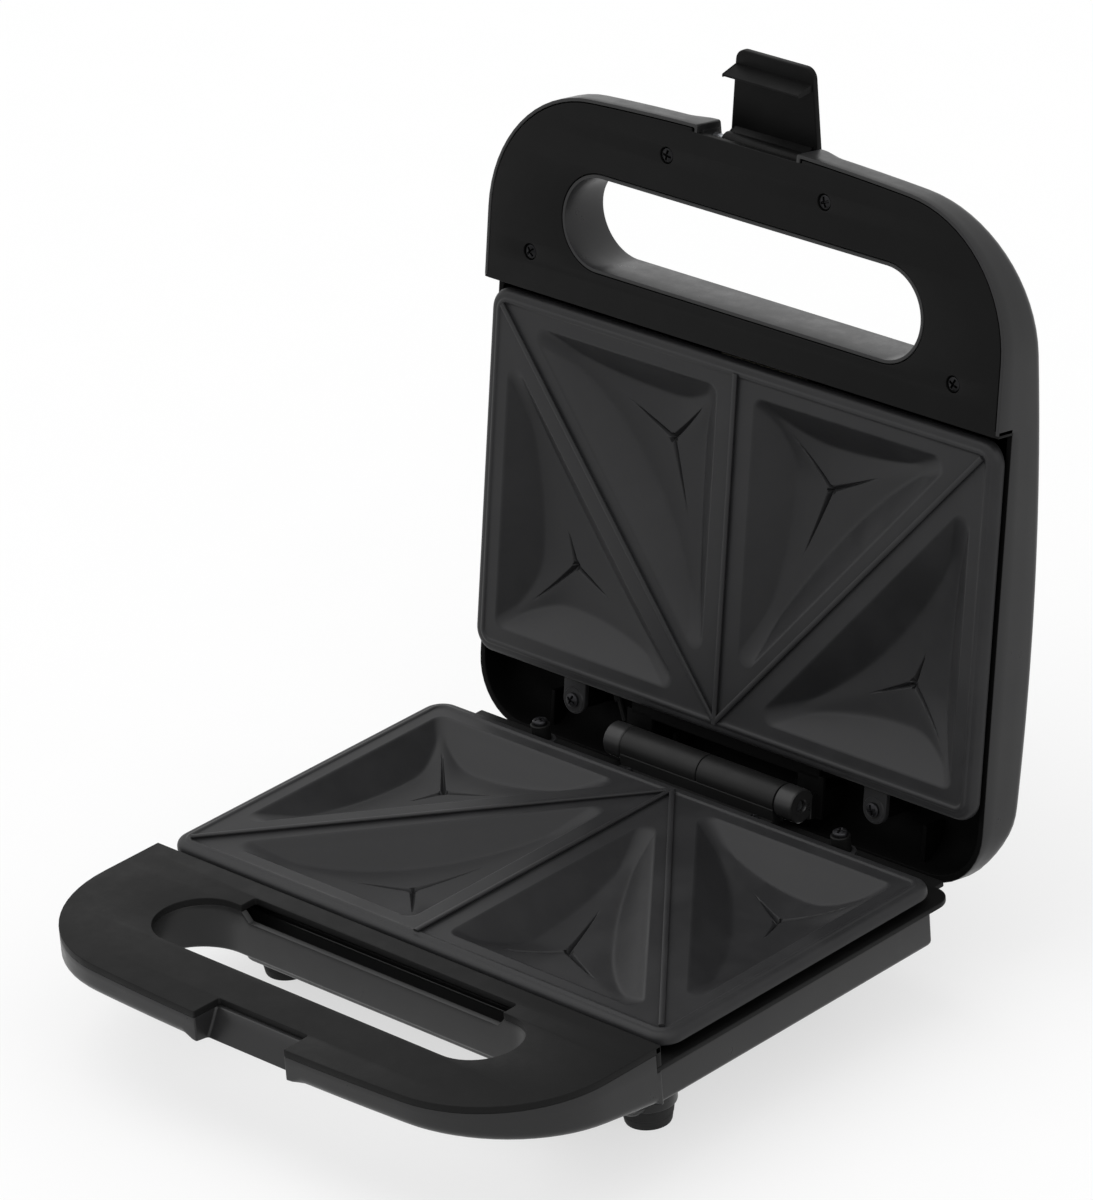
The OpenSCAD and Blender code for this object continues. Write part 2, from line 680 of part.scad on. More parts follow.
module beads(h) {
    difference() {
        linear_extrude(h) plate_plan(bead_in);
        translate([0, 0, -1]) linear_extrude(h + 2) plate_plan(bead_in + bead_w);
    }
    intersection() {
        linear_extrude(h) union() {
            translate([-mid_b, -plate_front]) square([bead_w, plate_front - plate_rear]);
            for (s = [-1, 1]) polygon([
                [s * -mid_b, -plate_rear - bead_in - bead_w], [s * mid_b, -plate_rear - bead_in],
                [s * (plate_half - bead_in), -plate_front + bead_in + bead_w],
                [s * (plate_half - bead_in - bead_w), -plate_front + bead_in]]);
        }
        linear_extrude(h) plate_plan(bead_in);
    }
}
module plate(ly, hole) {
    difference() {
        union() {
            translate([0, 0, land_z]) linear_extrude(plate_t) plate_plan(0.6);
            difference() {
                translate([0, 0, land_z + 0.6]) linear_extrude(skirt_h - land_z - 0.6) plate_plan(0);
                translate([0, 0, land_z + 0.6]) linear_extrude(CUT) plate_plan(plate_t);
            }
            beads(land_z + 0.5);
            both() {
                pocket(inner_tri, plate_t);
                pocket(outer_tri, plate_t);
            }
            for (s = [-1, 1]) translate([s * lug_x, 0, skirt_h]) {
                translate([-lug_r, -plate_rear - 3, 0]) cube([2 * lug_r, plate_rear + 3 - ly, lug_t]);
                translate([0, -ly, 0]) cylinder(h = lug_t, r = lug_r);
            }
        }
        both() {
            pocket(inner_tri, 0);
            pocket(outer_tri, 0);
        }
        for (s = [-1, 1]) translate([s * lug_x, -ly, 0]) cylinder(h = CUT, r = hole);
    }
}
module heater() {
    for (s = [-1, 1]) translate([0, -heater_y + s * heater_bend, heater_z]) {
        rotate([0, 90, 0]) cylinder(h = 2 * heater_leg, d = heater_d, center = true);
        translate([-heater_leg - pin_len, 0, 0]) rotate([0, 90, 0]) cylinder(h = pin_len + 2, d = pin_d);
    }
    translate([heater_leg, -heater_y, heater_z]) intersection() {
        rotate_extrude() translate([heater_bend, 0]) circle(d = heater_d);
        translate([-EPS, -CUT, -CUT]) cube(2 * CUT);
    }
}
// Saddles that hold the heater up against its plate
module heater_clamps() {
    r = heater_d / 2 + GRIP / 3;
    for (x = [-0.6, 0.6]) for (s = [-1, 1])
        translate([x * heater_leg, -heater_y + s * heater_bend, heater_z]) difference() {
            union() {
                rotate([0, 90, 0]) cylinder(h = clamp_len, r = r + clamp_t, center = true);
                translate([-clamp_len / 2, 2 - 2 * heater_d, 0])
                    cube([clamp_len, 4 * heater_d - 4, clamp_t]);
            }
            rotate([0, 90, 0]) cylinder(h = 2 * clamp_len, r = r, center = true);
            translate([-clamp_len, -CUT, -2 * CUT]) cube([2 * clamp_len, 2 * CUT, 2 * CUT]);
        }
}
module reflector() {
    difference() {
        translate([-reflector_half, -reflector_front, reflector_z])
            cube([2 * reflector_half, reflector_front - reflector_rear, reflector_t]);
        translate([0, -heater_y, reflector_z - 1]) cylinder(h = 2 + reflector_t, r = lid_stat_r + GRIP);
    }
}
module as_upper() { translate([0, 0, upper_z]) children(); }
module as_lower() { translate([0, 0, lower_z]) mirror([0, 0, 1]) children(); }

// Electrics in the base

module thermostat() {
    z = lower_z - reflector_z - reflector_t - GRIP;
    color("#c9c4b4") translate([0, -heater_y, z]) {
        translate([0, 0, -stat_h]) cylinder(h = stat_h, r = stat_r);
        translate([-3, -stat_r - stat_ear, -3]) cube([6, 2 * (stat_r + stat_ear), 1.2]);
    }
}
module thermal_fuse() {
    z = lower_z - reflector_z - reflector_t - GRIP;
    color("#d8d8d2") translate([fuse_x, -heater_y, z - fuse_r]) rotate([0, 90, 0]) {
        cylinder(h = fuse_len, r = fuse_r, center = true);
        cylinder(h = fuse_len + 2 * fuse_lead, r = 0.7, center = true);
    }
}
module terminal_block() {
    color("#e9e6da") translate([term_x - term_pitch / 2, -term_y, -belly_h + wall + pin_clear]) difference() {
        cube([3 * term_pitch, term_d, term_h]);
        for (i = [0 : 2]) translate([(i + 0.5) * term_pitch, term_d / 2, term_h / 2 - 1])
            cylinder(h = term_h, r = 2.6);
        for (i = [0 : 2]) translate([(i + 0.5) * term_pitch, -1, term_h / 2]) rotate([-90, 0, 0])
            cylinder(h = term_d + 2, r = wire_r + GRIP);
    }
}
module cord_gland() {
    r = gland_r + 3.2;
    color("#1c1c1e") translate([gland_x, -belly_rear, -gland_z]) rotate([-90, 0, 0]) difference() {
        union() {
            cylinder(h = gland_len - 5, r1 = r + 1.6, r2 = gland_r + 1.7);
            translate([0, 0, -wall - 0.1]) cylinder(h = wall + 0.2, r = r);
            translate([0, 0, -5]) cylinder(h = 5 - wall - 0.05, r = r + 1.6);
        }
        translate([0, 0, -6]) cylinder(h = gland_len + 2, r = gland_r);
    }
}
module base_wires() {
    z = -belly_h + wall + term_h / 2;
    hot = lower_z - heater_z;
    back = -term_y + term_d;
    edge = -lead_x;
    color("#b33a2e") for (i = [0 : 2]) {
        x = term_x + term_pitch * i;
        in_x = gland_x + 2.3 * wire_r * (i - 1);
        lead([[x, back - 2, z], [x, back + 4, z], [in_x, -belly_rear - 18, -gland_z],
              [in_x, -belly_rear - 10, -gland_z]]);
    }
    color("#b33a2e") for (s = [0, 1]) {
        x = term_x + term_pitch * s;
        y = -heater_y - 3 - 4 * s;
        out = 1 - 2 * s;
        pin_y = -heater_y + out * heater_bend;
        lead([[x, -term_y + 2, z], [x, -term_y - 3, z], [edge + lead_run, y, z + 3 * s],
              [edge, y, hot - 6], [edge, y, hot - 3], [edge, y + out * 4, hot],
              [edge, pin_y - out * 3, hot], [edge + 3, pin_y, hot],
              [-heater_leg - pin_len - GRIP, pin_y, hot]]);
    }
}
module foot(x, y) {
    color("#1a1a1c") translate([x, -y, foot_z]) {
        cylinder(h = foot_h - 1.5, r1 = foot_r - 1.2, r2 = foot_r);
        translate([0, 0, foot_h - 1.5]) cylinder(h = 1.5 - pin_clear, r = foot_r);
        translate([0, 0, foot_h - 1]) cylinder(h = 1 + wall - 0.2, r = foot_stem_r);
    }
}

// Lid

module lid_plan(t = 0) {
    w = width / 2 - t;
    r = lid_rear_r - t;
    back = lid_rear - t;
    handle_plan(back - r, t);
    translate([-w + r, -neck_y]) square([2 * (w - r), neck_y + back]);
    for (s = [-1, 1]) translate([s * (w - r), back - r]) circle(r);
}
function crown(y) = lid_top - crown_r + sqrt(crown_r * crown_r - (y + crown_y) * (y + crown_y));
module lid_side(t = 0) {
    back = lid_rear - lid_back_r;
    top = crown(back) - lid_back_r;
    intersection() {
        translate([-crown_y, lid_top - crown_r]) circle(crown_r - t, $fn = 4 * FINE);
        union() {
            translate([-reach - 1, 0]) square([reach + 1 + back, CUT]);
            translate([back - 1, 0]) square([lid_back_r + 1 - t, top]);
            translate([back, top]) circle(lid_back_r - t);
        }
    }
}
module lid_body(t) {
    intersection() {
        across(width) lid_side(t);
        linear_extrude(CUT) lid_plan(t);
    }
}
module ear_places() {
    for (s = [-1, 1]) translate([s * (barrel_half + ear_gap + ear_w / 2), 0, 0]) children();
}
module lid_inside() {
    linear_extrude(CUT) slot_plan(wall);
    screw_places() translate([0, 0, cover_back + boss_gap]) cylinder(h = CUT, r = boss_r);
    for (s = [-1, 1]) translate([s * lug_x, -lug_y, upper_z + skirt_h + lug_t])
        cylinder(h = CUT, r = boss_r);
    translate([-lid_notch_half - wall, -reach, cover_z])
        cube([2 * (lid_notch_half + wall), well_d + wall, CUT]);
    for (x = [-rib_out_x, -rib_in_x, rib_in_x, rib_out_x])
        translate([x - rib_t / 2, -wall, rim_drop + 6]) cube([rib_t, lid_rear, CUT]);
    ear_places() {
        translate([-ear_w / 2, -3, 0]) cube([ear_w, 3 + barrel_r, CUT]);
        translate([-ear_w / 2 - 2, -ear_tab, rim_drop]) cube([ear_w + 4, ear_tab + barrel_r, rib_t]);
    }
    bar = barrel_half + ear_gap + ear_w;
    translate([-bar, -ear_tab - bar_h, rim_drop]) cube([2 * bar, bar_h + rib_t, rib_t]);
}
module lid_shell() {
    eye = barrel_half + ear_gap + ear_w - 1.1;
    color("#2a2b2e") difference() {
        union() {
            difference() {
                lid_body(0);
                translate([0, 0, -EPS]) lid_body(wall);
                translate([-width, -neck_y - wall, -1]) cube([2 * width, 2 * neck_y, rim_drop + 1]);
            }
            intersection() {
                lid_body(0);
                lid_inside();
            }
            ear_places() rotate([0, 90, 0]) cylinder(h = ear_w, r = barrel_r, center = true);
        }
        translate([0, 0, -1]) linear_extrude(CUT) slot_plan();
        translate([0, 0, -1]) linear_extrude(1 + cover_back + 0.1) difference() {
            handle_plan(-neck_y, cover_reveal);
            slot_plan(cover_reveal);
        }
        translate([-lid_notch_half, -reach - 5, -1]) cube([2 * lid_notch_half, 5 + well_d, CUT]);
        translate([-width, -reach - 1, -1]) cube([2 * width, reach - plate_rear, 1 + cover_z]);
        translate([-width, -neck_y - 1, -1]) cube([2 * width, 1 + neck_y - plate_rear, rim_drop + 1]);
        screw_places() translate([0, 0, cover_z])
            cylinder(h = cover_t + handle_screw, r = screw_r + pin_clear);
        for (s = [-1, 1]) translate([s * lug_x, -lug_y, upper_z])
            cylinder(h = skirt_h + plate_screw + 1, r = screw_r + pin_clear);
        translate([0, pivot_y, pivot_z]) rotate([0, 90, 0])
            cylinder(h = 2 * (lid_notch_half + wall + 1), r = latch_pin_r + pin_clear, center = true);
        rotate([0, 90, 0]) cylinder(h = 2 * eye, r = pin_r + pin_clear, center = true);
        for (s = [-1, 1]) translate([s * lens_x, -lens_y, lid_top - 9]) cylinder(h = CUT, r = lens_r + 0.1);
    }
}
module lid_cover() {
    t = cover_reveal + cover_clear;
    color("#1b1b1d") difference() {
        union() {
            translate([0, 0, cover_z]) linear_extrude(cover_t) handle_plan(-neck_y, t);
            translate([-width / 2, -neck_y - wall, cover_z]) cube([width, wall, rim_drop - cover_z - 0.02]);
        }
        translate([0, 0, -1]) linear_extrude(CUT) slot_plan(t);
        translate([-lid_notch_half - wall, -reach - 1, -1])
            cube([2 * (lid_notch_half + wall), 1 + cover_notch_d, CUT]);
        screw_places() translate([0, 0, -1]) {
            cylinder(h = CUT, r = screw_r + shank_clear);
            cylinder(h = 1 + cover_z + cover_sink, r = head_r + GRIP);
        }
    }
}
module lid_screws() {
    color("#5d5f63") screw_places() translate([0, 0, cover_z + cover_sink - pin_clear])
        mirror([0, 0, 1]) screw(handle_screw);
}
module upper_plate_screws() {
    color("#8a8d92") for (s = [-1, 1]) translate([s * lug_x, -lug_y, upper_z + skirt_h - pin_clear])
        mirror([0, 0, 1]) screw(plate_screw);
}
module lid_thermostat() {
    z = upper_z + plate_t + land_z + 0.1;
    color("#c9c4b4") translate([0, -heater_y, z])
        cylinder(h = reflector_z + upper_z - z - GRIP, r = lid_stat_r);
}
module lens(s) {
    z = crown(-lens_y);
    translate([s * lens_x, -lens_y, z - wall - 1]) cylinder(h = wall + 1.6, r = lens_r);
    translate([s * lens_x, -lens_y, z - wall - 2]) cylinder(h = 1.2, r = lens_r + 0.8);
}
module lamp_holder() {
    z = crown(-lens_y) - wall - 2;
    w = 2 * (lens_x + lens_r) + 8;
    color("#d9d4c6") difference() {
        translate([-w / 2, -lens_y - lamp_r - 2.4, z - lamp_h - 1.6])
            cube([w, 2 * lamp_r + 4.8, lamp_h + 1.5]);
        for (s = [-1, 1]) translate([s * lens_x, -lens_y, z - lamp_h - 0.6])
            cylinder(h = 2 * lamp_h, r = lamp_r + 0.2);
    }
}
module neon_lamps() {
    z = crown(-lens_y) - wall - 2;
    color("#e0b8a0") for (s = [-1, 1]) translate([s * lens_x, -lens_y, z - lamp_h - 0.5])
        cylinder(h = lamp_h, r = lamp_r);
}
module lid_wires() {
    hot = upper_z + heater_z;
    color("#b33a2e") for (s = [-1, 1]) {
        y = -heater_y + s * heater_bend;
        x = -lead_x - 1 - 1.5 * s;
        rear = -reflector_rear - 3 * s;
        end_x = -barrel_half - ear_gap - ear_w - 4 * wire_r - 5 - 2 * s;
        lead([[-heater_leg - pin_len - GRIP, y, hot], [x + 3, y, hot], [x, y + 3, hot],
              [x, rear, hot - 4], [x + 3, rear + 3, hot - 4], [end_x - 8, rear + 7, hot - 4],
              [end_x, 2 - barrel_r - 3 * s, hot - 5]]);
    }
}

// Latch, drawn shut and hanging from its pivot

module latch_pin() {
    color("#b9bcc0") translate([0, pivot_y, pivot_z]) rotate([0, 90, 0])
        cylinder(h = 2 * (lid_notch_half + wall - 0.6), r = latch_pin_r, center = true);
}
module latch() {
    low = pivot_z - latch_len;
    top = pivot_z + latch_eye_r;
    r = latch_corner_r;
    color("#141416") difference() {
        union() {
            translate([0, latch_in, 0]) rotate([90, 0, 0]) linear_extrude(latch_t) union() {
                polygon([[-latch_half, top], [-latch_half, pivot_z], [-latch_tip_half, low + r],
                         [latch_tip_half, low + r], [latch_half, pivot_z], [latch_half, top]]);
                for (s = [-1, 1]) translate([s * (latch_tip_half - r), low + r]) circle(r);
                translate([-latch_tip_half + r, low]) square([2 * (latch_tip_half - r), r + 1]);
            }
            across(latch_half - latch_step) polygon([
                [latch_in - 1, top], [pivot_y, top], [pivot_y, pivot_z - 1],
                [latch_in - 1, pivot_z - latch_eye_r - 1]]);
            translate([0, pivot_y, pivot_z]) rotate([0, 90, 0])
                cylinder(h = 2 * (latch_half - latch_step), r = latch_eye_r, center = true);
            across(latch_tip_half) polygon([
                [latch_in - 1, hook_top - hook_rise], [latch_in, hook_top - hook_rise],
                [latch_in + hook_len, hook_top], [latch_in + hook_len, hook_top - hook_rise],
                [latch_in, hook_top - hook_rise - hook_t], [latch_in - 1, hook_top - hook_rise - hook_t]]);
        }
        translate([0, pivot_y, pivot_z]) rotate([0, 90, 0])
            cylinder(h = 3 * latch_half, r = latch_pin_r + pin_clear, center = true);
    }
}

stand() base_pan();
stand() base_deck();
stand() base_frame();
stand() base_screws();
stand() hinge_barrel();
stand() hinge_screws();
stand() hinge_pin();
stand() color("#3a3a3d") as_lower() plate(post_y, post_hole_r);  // lower_plate
stand() plate_posts();
stand() color("#8f8c88") as_lower() heater();  // lower_heater
stand() color("#c3c5c8") as_lower() heater_clamps();  // lower_heater_clamps
stand() color("#d5d7da") as_lower() reflector();  // lower_reflector
stand() thermostat();
stand() thermal_fuse();
stand() terminal_block();
stand() cord_gland();
stand() base_wires();
stand() foot(-foot_x, foot_front);  // foot_front_left
stand() foot(foot_x, foot_front);  // foot_front_right
stand() foot(-foot_rear_x, foot_rear);  // foot_rear_left
stand() foot(foot_rear_x, foot_rear);  // foot_rear_right
on_lid() lid_shell();
on_lid() lid_cover();
on_lid() lid_screws();
on_lid() color("#3a3a3d") as_upper() plate(lug_y, lug_hole_r);  // upper_plate
on_lid() upper_plate_screws();
on_lid() color("#8f8c88") as_upper() heater();  // upper_heater
on_lid() color("#c3c5c8") as_upper() heater_clamps();  // upper_heater_clamps
on_lid() color("#d5d7da") as_upper() reflector();  // upper_reflector
on_lid() lid_thermostat();
on_lid() color("#8c1414") lens(-1);  // power_lens
on_lid() color("#14702a") lens(1);  // ready_lens
on_lid() lamp_holder();
on_lid() neon_lamps();
on_lid() lid_wires();
on_lid() latch_pin();
on_latch() latch();
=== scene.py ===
# %% [markdown]
# # A two-slice sandwich toaster
#
# The real thing is two shallow shells of moulded plastic on one hinge. Each carries a cast plate with
# four three-sided pockets, and both run forward into a handle with a long finger slot. A clip on the
# lid's handle holds it shut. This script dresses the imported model: it loads the exact solids as a
# frame, builds each visible piece again with its rounded edges and fine parts, and gives everything
# a finish worked out by nodes.
#
# All sizes are millimetres in the drawing of the shut toaster: the hinge axis is y = 0, z = 0, the
# handles point to -Y and the halves meet at z = 0. One function places a piece from there.

# %% The frame
import math
import bpy
import numpy as np
from mathutils import Matrix, Vector
from mathutils.geometry import tessellate_polygon


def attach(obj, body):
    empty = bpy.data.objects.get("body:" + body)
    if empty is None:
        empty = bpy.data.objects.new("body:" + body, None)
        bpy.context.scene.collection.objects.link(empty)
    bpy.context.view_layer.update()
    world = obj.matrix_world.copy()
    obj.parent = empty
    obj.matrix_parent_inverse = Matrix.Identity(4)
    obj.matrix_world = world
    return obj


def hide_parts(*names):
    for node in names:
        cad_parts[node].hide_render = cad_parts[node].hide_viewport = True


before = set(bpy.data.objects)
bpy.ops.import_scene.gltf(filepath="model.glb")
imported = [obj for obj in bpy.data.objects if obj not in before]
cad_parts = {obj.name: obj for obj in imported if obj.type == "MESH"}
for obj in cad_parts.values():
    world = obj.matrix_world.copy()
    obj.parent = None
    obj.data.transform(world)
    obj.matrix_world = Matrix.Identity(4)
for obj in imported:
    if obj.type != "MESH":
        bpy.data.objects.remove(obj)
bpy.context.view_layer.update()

# %% [markdown]
# ## From the drawing to the frame
#
# The toaster is shown open: the lid leans back 100 degrees from shut, and the clip swings out
# another 85 degrees about its own pin. Working shut keeps every outline simple, because both halves
# then share one plan. A turn about a line along X is y' = y cos a - z sin a, z' = y sin a + z cos a.

# %% Placing a piece
MM = 0.001
LID_OPEN, CLIP_SWING = -100.0, -85.0
CLIP_PIVOT = (-214.5, 9.5)
SHIFT_Y, FOOT_Z = 81.73744, -49.3


def turned(p, degrees, pivot=(0.0, 0.0)):
    """Points turned about the line y, z = pivot: the formula of the cell above."""
    a = math.radians(degrees)
    y, z = p[:, 1] - pivot[0], p[:, 2] - pivot[1]
    return np.stack([p[:, 0], y * math.cos(a) - z * math.sin(a) + pivot[0],
                     y * math.sin(a) + z * math.cos(a) + pivot[1]], 1)


def placed(p, body):
    """Points of the shut drawing in mm, as metres in the frame with the toaster open."""
    if body == "latch":
        p = turned(p, CLIP_SWING, CLIP_PIVOT)
    if body != "base":
        p = turned(p, LID_OPEN)
    return (p + [0.0, SHIFT_Y, -FOOT_Z]) * MM


# %% [markdown]
# ## Surfaces as grids
#
# Nearly every form here is an outline carried through a profile: a wall that goes up, turns over an
# edge and runs inwards. So the tools are few: an outline with rounded corners, a band of quads
# between a stack of loops, a flat cap that may have holes, and a turned form. Each gives points and
# faces, and a piece is one or more such closed parts.

# %% Outlines
def unit(v):
    """Vectors divided by their length."""
    return v / np.linalg.norm(v, axis=-1, keepdims=True)


def side_counts(loop, step):
    """How many parts no longer than step each side of a closed loop is cut into."""
    length = np.linalg.norm(np.roll(loop, -1, 0) - loop, axis=1)
    return np.maximum(1, np.ceil(length / step)).astype(int)


def divided(loop, counts):
    """A closed loop, each of its sides cut into its count of equal parts."""
    after = np.roll(loop, -1, 0)
    k = np.repeat(np.arange(len(loop)), counts)
    t = (np.arange(counts.sum()) - np.repeat(np.cumsum(counts) - counts, counts)) / counts[k]
    return loop[k] + (after[k] - loop[k]) * t[:, None]


def cornered(rows, bend=9.0):
    """Loop from rows (x, y, radius). A corner with a radius becomes an arc, from one side to the
    other, about centre = corner + r / sin(half) along the line that halves the corner's angle."""
    rows = np.asarray(rows, float)
    p, r = rows[:, :2], rows[:, 2]
    back, on = unit(np.roll(p, 1, 0) - p), unit(np.roll(p, -1, 0) - p)
    out = []
    for k in range(len(p)):
        if r[k] == 0:
            out.append(p[k:k + 1])
            continue
        half = math.acos(np.clip(back[k] @ on[k], -1, 1)) / 2
        centre = p[k] + unit(back[k] + on[k]) * r[k] / math.sin(half)
        a = p[k] + back[k] * r[k] / math.tan(half) - centre
        b = p[k] + on[k] * r[k] / math.tan(half) - centre
        sweep = math.pi - 2 * half
        t = np.linspace(0, 1, max(3, math.ceil(math.degrees(sweep) / bend) + 1))[:, None]
        out.append(centre + (a * np.sin((1 - t) * sweep) + b * np.sin(t * sweep)) / math.sin(sweep))
    return np.concatenate(out)


def outline(rows, step=3.0, bend=9.0):
    """A closed loop from rows (x, y, radius), its long sides divided."""
    loop = cornered(rows, bend)
    loop = loop[np.linalg.norm(loop - np.roll(loop, 1, 0), axis=1) > 1e-4]
    return divided(loop, side_counts(loop, step))


def moved_in(loop, d):
    """The loop moved to its left by d: along d (n1 + n2) / (1 + n1.n2), n1 and n2 the normals
    of the two sides at a corner."""
    e = unit(np.roll(loop, -1, 0) - loop)
    n2 = np.stack([-e[:, 1], e[:, 0]], 1)
    n1 = np.roll(n2, 1, 0)
    return loop + d * (n1 + n2) / (1 + (n1 * n2).sum(1, keepdims=True))


def doubled(rows):
    """Rows of one half, then their mirror image in the reverse order."""
    rows = np.asarray(rows, float)
    return np.concatenate([rows, rows[::-1] * [-1, 1, 1]])


def box_rows(x0, y0, x1, y1, r):
    """Rows of a rectangle, anticlockwise, with one corner radius."""
    return [(x0, y0, r), (x1, y0, r), (x1, y1, r), (x0, y1, r)]


def circle(x, y, r, n=32):
    """A round loop, anticlockwise."""
    a = np.arange(n) * 2 * math.pi / n
    return np.stack([x + r * np.cos(a), y + r * np.sin(a)], 1)


# %% Bands, caps and parts
def at_height(loop, z):
    """Loop (x, y) as points at height z, which may differ from point to point."""
    return np.column_stack([loop, np.broadcast_to(z, len(loop))])


def band(rows, closed=False, start=0):
    """Quads between neighbouring loops of rows[k, j]. With closed, the last meets the first."""
    r, n = len(rows), len(rows[0])
    i, j = np.meshgrid(np.arange(r if closed else r - 1), np.arange(n), indexing="ij")
    i2, j2 = (i + 1) % r, (j + 1) % n
    quads = np.stack([i * n + j, i * n + j2, i2 * n + j2, i2 * n + j], -1).reshape(-1, 4)
    return np.concatenate(rows), quads + start


def looped(rows):
    """A part through a stack of loops of which the last meets the first."""
    p, quads = band(rows, closed=True)
    return p, [quads], []


def capped(rows):
    """A part through a stack of loops, its two ends closed flat."""
    p, quads = band(rows)
    n = len(rows[0])
    return p, [quads], [np.arange(n)[::-1][None], (len(p) - n + np.arange(n))[None]]


# %% Caps and slabs
def cap(loops, indices):
    """Triangles, facing up, that fill loops[0] less the other loops, as numbers of their points."""
    lists = [[Vector((x, y, 0.0)) for x, y in loop] for loop in loops]
    index = np.concatenate(indices)
    tris = np.array(tessellate_polygon(lists))
    flat = np.concatenate(loops)
    a, b, c = (flat[tris[:, k]] for k in range(3))
    up = (b - a)[:, 0] * (c - a)[:, 1] - (b - a)[:, 1] * (c - a)[:, 0] > 0
    return index[np.where(up[:, None], tris, tris[:, ::-1])]


def slab(loops, z0, z1, r=0.4, steps=4):
    """A flat plate from z0 to z1 inside loops[0] and outside the others, which run clockwise. Over
    the lower edge inset = r (1 - sin a) and height = z0 + r (1 - cos a). Over the upper one the sine
    and the cosine change places, and height is measured down from z1."""
    a = np.linspace(0, math.pi / 2, steps + 1)
    inset = np.concatenate([r * (1 - np.sin(a)), r * (1 - np.cos(a))])
    height = np.concatenate([z0 + r * (1 - np.cos(a)), z1 - r * (1 - np.sin(a))])
    points, smooth, flat, n = [], [], [], 0
    ends = ([], [])
    for loop in loops:
        stack = [at_height(moved_in(loop, d), z) for d, z in zip(inset, height)]
        p, quads = band(stack, start=n)
        points.append(p)
        smooth.append(quads)
        ends[0].append((stack[0][:, :2], n + np.arange(len(loop))))
        n += len(p)
        ends[1].append((stack[-1][:, :2], n - len(loop) + np.arange(len(loop))))
    for end, turn in zip(ends, (-1, 1)):
        flat.append(cap(*zip(*end))[:, ::turn])
    return np.concatenate(points), smooth, flat


# %% Turned and extruded parts
def rounds(profile, n, x=0.0, y=0.0):
    """Round loops about (x, y) from a profile's rows (radius, height)."""
    return [at_height(circle(x, y, r, n), z) for r, z in profile]


def lathe(profile, n=40):
    """A form turned about Z from rows (radius, height), its two ends closed flat."""
    return capped(rounds(profile, n))


def along(part, axis, at):
    """A part that was drawn about Z, turned to run along x or y, and moved."""
    p = part[0]
    p = {"x": p[:, [2, 0, 1]], "y": p[:, [1, 2, 0]], "z": p}[axis]
    return p + np.asarray(at, float), part[1], part[2]


def extruded(loop, x0, x1, r=0.3):
    """A side view (y, z) as a slab from x0 to x1."""
    p, smooth, flat = slab([loop], x0, x1, r)
    return p[:, [2, 0, 1]], smooth, flat


def block(x0, x1, y0, y1, z0, z1, r=0.3):
    """A rounded block."""
    return slab([outline(box_rows(x0, y0, x1, y1, max(r, 0.05)), 20.0, 30.0)], z0, z1, r, 3)


def mirrored(part):
    """The same part on the other side of x = 0, its faces turned round again."""
    return (part[0] * [-1, 1, 1], [f[:, ::-1] for f in part[1]], [f[:, ::-1] for f in part[2]])


# %% Making the pieces
def inside_out(p, faces):
    """True where the part's volume, summed over fans of triangles, is negative."""
    total = 0.0
    for f in faces:
        for k in range(1, f.shape[1] - 1):
            total += np.einsum("ij,ij->", p[f[:, 0]], np.cross(p[f[:, k]], p[f[:, k + 1]]))
    return total < 0


def piece(name, parts, body, finish, nodes=(), sharp=32.0, second=None, where=None):
    """One object from closed parts (points, smooth faces, flat faces) of the shut drawing. Faces
    whose middle passes the test where(x, y, z) take the second finish."""
    points, faces, smooth, n = [], [], [], 0
    for p, curved, flat in parts:
        turn = -1 if inside_out(p - p.mean(0), curved + flat) else 1
        for group, flag in ((curved, True), (flat, False)):
            for f in group:
                faces += (f[:, ::turn] + n).tolist()
                smooth += [flag] * len(f)
        points.append(p)
        n += len(p)
    points = np.concatenate(points)
    mesh = bpy.data.meshes.new(name)
    mesh.from_pydata(placed(points, body), [], faces)
    mesh.polygons.foreach_set("use_smooth", smooth)
    mesh.set_sharp_from_angle(angle=math.radians(sharp))
    mesh.materials.append(finish)
    if second:
        middle = np.array([points[f].mean(0) for f in faces])
        mesh.materials.append(second)
        mesh.polygons.foreach_set("material_index", where(*middle.T).astype(int))
    thing = bpy.data.objects.new(name, mesh)
    bpy.context.scene.collection.objects.link(thing)
    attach(thing, body)
    if nodes:
        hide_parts(*nodes)
    print(f"{name}: {len(faces)} faces")


# %% [markdown]
# ## Finishes
#
# The whole object is black, so it lives by how each black differs: the flat covers are matt and fine
# grained, the outer walls have the sheen of polished moulding, and the plates carry a sprayed
# non-stick coat with a faint orange-peel. To keep the recipes readable, a small class stands for a
# socket and turns Python's arithmetic into Math nodes.

# %% Shader arithmetic
class Value:
    """A socket that carries a number. Adding, multiplying and so on makes Math nodes."""

    def __init__(self, tree, socket):
        self.tree, self.socket = tree, socket

    def math(self, operation, a, b):
        """A Math node on two values, of which either may be a plain number."""
        return self.tree.node("ShaderNodeMath", {"operation": operation}, a, b)

    def __add__(self, other):
        return self.math("ADD", self, other)

    def __sub__(self, other):
        return self.math("SUBTRACT", self, other)

    def __rsub__(self, other):
        return self.math("SUBTRACT", other, self)

    def __mul__(self, other):
        return self.math("MULTIPLY", self, other)

    __radd__, __rmul__ = __add__, __mul__


